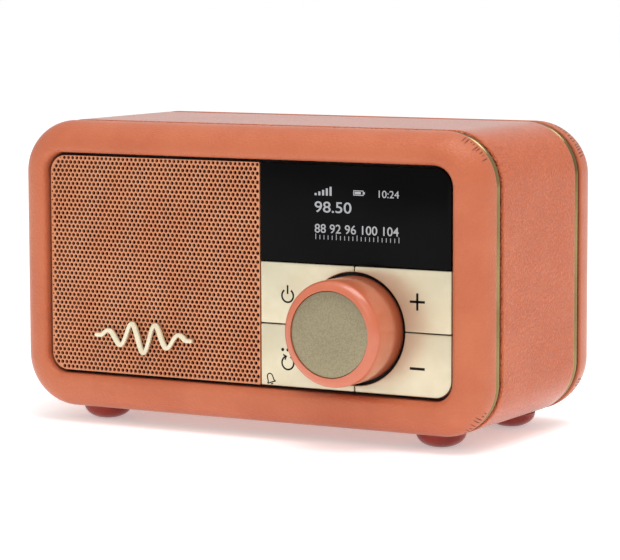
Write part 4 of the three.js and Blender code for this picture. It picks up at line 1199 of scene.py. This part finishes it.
CROSS_LONG, CROSS_WIDE = 1.15, 0.24
for name in screw_nodes:
    x, z = spread(name)[:2]
    low, high = low_high(name)
    under = high.y - 1.2
    point = low.y - under
    head = [(0, point), (0.7, point), (1.0, point + 0.4), (1.0, 0), (2.15, 0), (2.3, 0.14)]
    head += [(2.3, 0.35)] + arc((0, 0.35), (2.3, 0.85), 12, 84, 9) + [(0, 1.2)]
    screw = add_piece(name.replace("panel_screw", "pan_screw"), *turned(head, (x, under, z), steps=40), steel,
                      stands_for=[name])
    bars = ((CROSS_LONG, CROSS_WIDE), (CROSS_WIDE, CROSS_LONG))
    carved(screw, *[tile(x - w, x + w, z - h, z + h, high.y + 0.2, 0.75) for w, h in bars])
print("screws:", len(screw_nodes))


# %% Sockets
def drilled(outer, inner, start, stop):
    """A plate between two depths, with a hole whose outline has as many points as its own."""
    rings = [(outer, start), (outer, stop), (inner, stop), (inner, start)]
    return joined([np.column_stack([p[:, 0], np.full(len(p), d), p[:, 1]]) for p, d in rings])


def about(x, z, radius_at, steps=48):
    """An outline about a point, from its radius at each angle."""
    angles = np.arange(steps) * 2 * math.pi / steps
    return np.array([(x + radius_at(a) * math.cos(a), z + radius_at(a) * math.sin(a)) for a in angles])


def box_radius(half_x, half_z):
    """The distance from a rectangle's middle to its side at an angle."""
    return lambda a: min(half_x / max(abs(math.cos(a)), 1e-6), half_z / max(abs(math.sin(a)), 1e-6))


def usb_outline(inset):
    """The socket's flat oval, drawn in by an inset."""
    return np.array(stadium(usb_x, usb_z, usb_wide - inset, usb_high - inset, usb_high - inset))


usb_low, usb_back = low_high("usb_socket")
shell = drilled(usb_outline(0), usb_outline(0.35), usb_low.y, usb_back.y)
stop_plate = sheet_solid(usb_outline(0.3), usb_low.y + 1.4, usb_low.y + 2.0, 0.05)
tongue = tile(usb_x - 3.3, usb_x + 3.3, usb_z - 0.35, usb_z + 0.35, usb_back.y - 0.8, 6.0)
add_piece("usb_shell", *together(shell, stop_plate, tongue), steel, stands_for=["usb_socket"])
jack_low, jack_back = low_high("headphone_socket")
bore = 1.8
barrel_from = panel_low.y - 1.2
barrel_long = jack_back.y - barrel_from
barrel_profile = [
    (bore, 0), (JACK_RADIUS, 0), (JACK_RADIUS, barrel_long - 0.25), (JACK_RADIUS - 0.25, barrel_long),
    (bore + 0.15, barrel_long), (bore, barrel_long - 0.15),
]
barrel = turned(barrel_profile, (jack_x, barrel_from, jack_z), closed=True)
housing = drilled(about(jack_x, jack_z, box_radius(jack_wide, jack_high)),
                  about(jack_x, jack_z, lambda a: bore), jack_low.y, panel_low.y - 0.2)
end_wall = tile(jack_x - 2.5, jack_x + 2.5, jack_z - 2.5, jack_z + 2.5, jack_low.y + 1.0, 0.8)
add_piece("jack_barrel", *together(barrel, housing, end_wall), black_moulding,
          stands_for=["headphone_socket"])
bush = turned([(bore - 0.25, 0), (bore - 0.02, 0), (bore - 0.02, 4.0), (bore - 0.25, 4.0)],
              (jack_x, jack_back.y - 4.6, jack_z), steps=40, closed=True)
add_piece("jack_bush", *bush, steel)
print("sockets: 2")

# %% [markdown]
# ## Aerial
# The aerial stows along the top of the rear panel. A turret turns in the panel, a hinge pin
# passes through its two ears, and four drawn tubes slide inside one another. The tubes are
# turned about the aerial's own line, and each rides on its own body so that it can slide.

# %% Turret and hinge pin
pivot = middle("aerial_hinge_pin")
EAR, PIN_HOLE, PIN_RADIUS = 2.4, 0.95, 0.8
disc_profile = [(0, -5), (2.2, -5), (2.2, 0.2), (4.25, 0.2), (4.4, 0.35)]
disc_profile += [(4.4, 1.1), (4.3, 1.3), (4.05, 1.4), (0, 1.4)]
disc = turned(disc_profile, (turret_x, panel_high.y, turret_z))
foot_depth = pivot.y - panel_high.y - 1.1


def ear_radius(a):
    """An ear is round above the pin and square below it."""
    return EAR if math.sin(a) >= 0 else box_radius(EAR, foot_depth)(a)


def crosswise(solid):
    """Turns a plate that faces the back so that it faces up."""
    points, faces = solid
    return points[:, [0, 2, 1]], faces


ears = [
    crosswise(drilled(about(pivot.x, pivot.y, ear_radius, 64),
                      about(pivot.x, pivot.y, lambda a: PIN_HOLE, 64),
                      pivot.z + side * 1.15, pivot.z + side * 2.6))
    for side in (-1, 1)
]
add_piece("turret", *together(disc, *ears), bright_plating, body="aerial_base",
          stands_for=["aerial_turret"], sharp=30)
pin = [(0, -2.9), (0.5, -2.87), (PIN_RADIUS, -2.66), (PIN_RADIUS, 2.66), (0.5, 2.87), (0, 2.9)]
add_piece("hinge_pin", *turned(pin, pivot, "up", 32), bright_plating, body="aerial_base",
          stands_for=["aerial_hinge_pin"])

# %% Sliding tubes
TUBE, TUBE_BORE, TUBE_END = 2.0, 1.65, 82.0
first = [(0, 3), (1.75, 3), (TUBE, 3.25), (TUBE, 80.4), (1.92, 80.6), (1.92, 80.9), (TUBE, 81.1)]
first += [(TUBE, 81.8), (1.85, TUBE_END), (TUBE_BORE, TUBE_END), (TUBE_BORE, 4.5), (0, 4.5)]
knuckle = crosswise(drilled(about(pivot.x, pivot.y, lambda a: TUBE), about(pivot.x, pivot.y, lambda a: 0.9),
                            pivot.z - 1.0, pivot.z + 1.0))
neck = tile(pivot.x - 3.5, pivot.x - 1.3, pivot.z - 1.0, pivot.z + 1.0, pivot.y + 1.6, 3.2)
add_piece("tube_1", *together(turned(first, pivot, "left", 48), knuckle, neck), bright_plating,
          body="aerial_1", stands_for=["aerial_tube_1"], sharp=30)
for number, outer, inner, end in ((2, 1.55, 1.2, 83.5), (3, 1.1, 0.8, 85.0)):
    tube = [(inner, 5), (outer, 5), (outer, end - 0.12), (outer - 0.12, end)]
    tube += [(inner + 0.05, end), (inner, end - 0.05)]
    add_piece(f"tube_{number}", *turned(tube, pivot, "left", 40, True), bright_plating,
              body=f"aerial_{number}", stands_for=[f"aerial_tube_{number}"], sharp=30)
tip = [(0, 5.5), (0.7, 5.5), (0.7, 85.2), (1.55, 85.2), (1.85, 85.5), (1.9, 85.8), (1.9, 88.2)]
tip += arc((0, 88.2), (1.9, 1.6), 8, 90, 10)
add_piece("tip_rod", *turned(tip, pivot, "left", 40), bright_plating, body="aerial_tip",
          stands_for=["aerial_tip_rod"], sharp=30)
print("aerial reach in mm:", tip[-1][1])

# %% [markdown]
# ## Finishes of the pieces behind
# What stands behind the face keeps the assembly's own shapes, and each gets a finish that
# suits what it is made of. The core board is darker than bare board, as painted shade in
# the seam gaps where it shows.

# %% Finishes for the rest
HIDDEN = {  # tone, darker tone, and the rest of each finish
    # core_board: a dark board tone that is also painted shade for the seam gaps beside the gilt strips.
    "core_board": ((70, 52, 38), (54, 39, 28),
                   dict(rough=0.85, patch=4, fleck=0.6, grain=(0.4, 3.0, 0.5, 0.03))),
    "speaker_cloth": ((62, 16, 12), (44, 11, 8),
                      dict(rough=0.95, patch=2, fleck=0.6, grain=(0.35, 1.0, 0.1, 0.06))),
    "circuit_board": ((32, 96, 60), (22, 74, 46),
                      dict(rough=0.4, patch=5, fleck=0.5, grain=(0.6, 1.0, 0.2, 0.02))),
    "rubber_roll": ((34, 34, 35), (26, 26, 27),
                    dict(rough=0.7, patch=6, fleck=0.2, grain=(0.3, 1.0, 0.6, 0.01), dust=0.2)),
    "cone_paper": ((36, 35, 34), (24, 23, 22),
                   dict(rough=0.9, patch=2, fleck=0.7, grain=(0.35, 1.0, 0.4, 0.05))),
    "cell_wrap": ((44, 84, 140), (34, 68, 120),
                  dict(rough=0.35, patch=10, fleck=0.1, grain=(2.5, 1.0, 0.95, 0.05))),
}
FINISHES = {name: finish(name, light, dark, **rest) for name, (light, dark, rest) in HIDDEN.items()}
for made in (black_moulding, steel, bright_plating, leather_grained, gilt, foot_lacquer, grille_paint,
             cream_satin, window_black, knob_lacquer, spun_metal):
    FINISHES[slot_of(made)] = made
slots = {entry["node"]: entry["material_slot"] for entry in frame["record"]["subparts"]}
for name, solid in frame["nodes"].items():
    solid.material_slots[0].link = "OBJECT"
    solid.material_slots[0].material = FINISHES[slots[name]]
print("finishes:", len(FINISHES))

# %% [markdown]
# ## Studio
# A wide pale floor, a large soft light overhead, weaker ones from the front and the left, and
# an even surround, so that shadows stay soft and colours true. The floor gives off a little
# light of its own, so that it stays pale out to where it meets the surround.

# %% Floor
floor_finish = finish("studio_floor", (250, 250, 250), (247, 247, 247), rough=0.9, patch=300,
                      fleck=0.0, Emission_Color=(1, 1, 1, 1), Emission_Strength=0.38)
FLOOR_RADII = (0, 150, 400, 1000, 2500, 6000)
points, faces = turned([(r, -0.02) for r in FLOOR_RADII], (0, 0, 0), "up", 96)
floor_mesh = bpy.data.meshes.new("studio_floor")
floor_mesh.from_pydata([tuple(p * MM) for p in points], [], faces[:-1])
floor_mesh.polygons.foreach_set("use_smooth", [True] * len(floor_mesh.polygons))
floor_mesh.materials.append(floor_finish)
floor = bpy.data.objects.new("studio_floor", floor_mesh)
bpy.context.scene.collection.objects.link(floor)


# %% Lights
def soft_light(name, place, aim, size, watts, tint=(1, 1, 1)):
    light = bpy.data.lights.new(name, "AREA")
    light.shape = "RECTANGLE"
    light.size, light.size_y = size
    light.energy = watts
    light.color = tint
    lamp = bpy.data.objects.new(name, light)
    lamp.location = place
    lamp.rotation_euler = (Vector(aim) - Vector(place)).to_track_quat("-Z", "Y").to_euler()
    bpy.context.scene.collection.objects.link(lamp)


soft_light("overhead_softbox", (0.22, -0.12, 0.9), (0, 0, 0.03), (0.8, 0.5), 6.0)
soft_light("front_fill", (0.5, -1.1, 0.7), (0, 0, 0.04), (0.6, 0.5), 1.5)
soft_light("left_fill", (-1.1, -0.6, 0.5), (0, 0, 0.04), (0.7, 0.7), 0.2)
SURROUND_LIGHT = 0.67
world = bpy.data.worlds.new("studio")
world.use_nodes = True
surround = Graph(world.node_tree)
seen = surround.node("ShaderNodeLightPath").outputs["Is Camera Ray"]
backdrop = next(n for n in world.node_tree.nodes if n.type == "BACKGROUND")
backdrop.inputs["Color"].default_value = (1, 1, 1, 1)
surround.give(backdrop.inputs["Strength"], surround.math("MAXIMUM", seen, SURROUND_LIGHT))
scene = bpy.context.scene
scene.world = world
scene.view_settings.view_transform = "Standard"
scene.view_settings.look = "None"

# %% [markdown]
# ## Camera
# A long lens from a little above, to the radio's right: the front shows, and one side, and
# a sliver of the top.

# %% Camera
camera_data = bpy.data.cameras.new("camera")
camera_data.lens = 168.5
camera_data.sensor_width = 36
camera_data.shift_x = -0.0051
camera_data.shift_y = -0.0109
camera = bpy.data.objects.new("camera", camera_data)
azimuth, elevation, roll = (math.radians(a) for a in (29.43, 6.18, -0.17))
turn = Matrix.Rotation(azimuth, 4, "Z") @ Matrix.Rotation(math.pi / 2 - elevation, 4, "X")
turn = turn @ Matrix.Rotation(roll, 4, "Z")
camera.matrix_world = Matrix.Translation(Vector((351.6, -617.1, 113.9)) * MM) @ turn
scene.collection.objects.link(camera)
scene.camera = camera
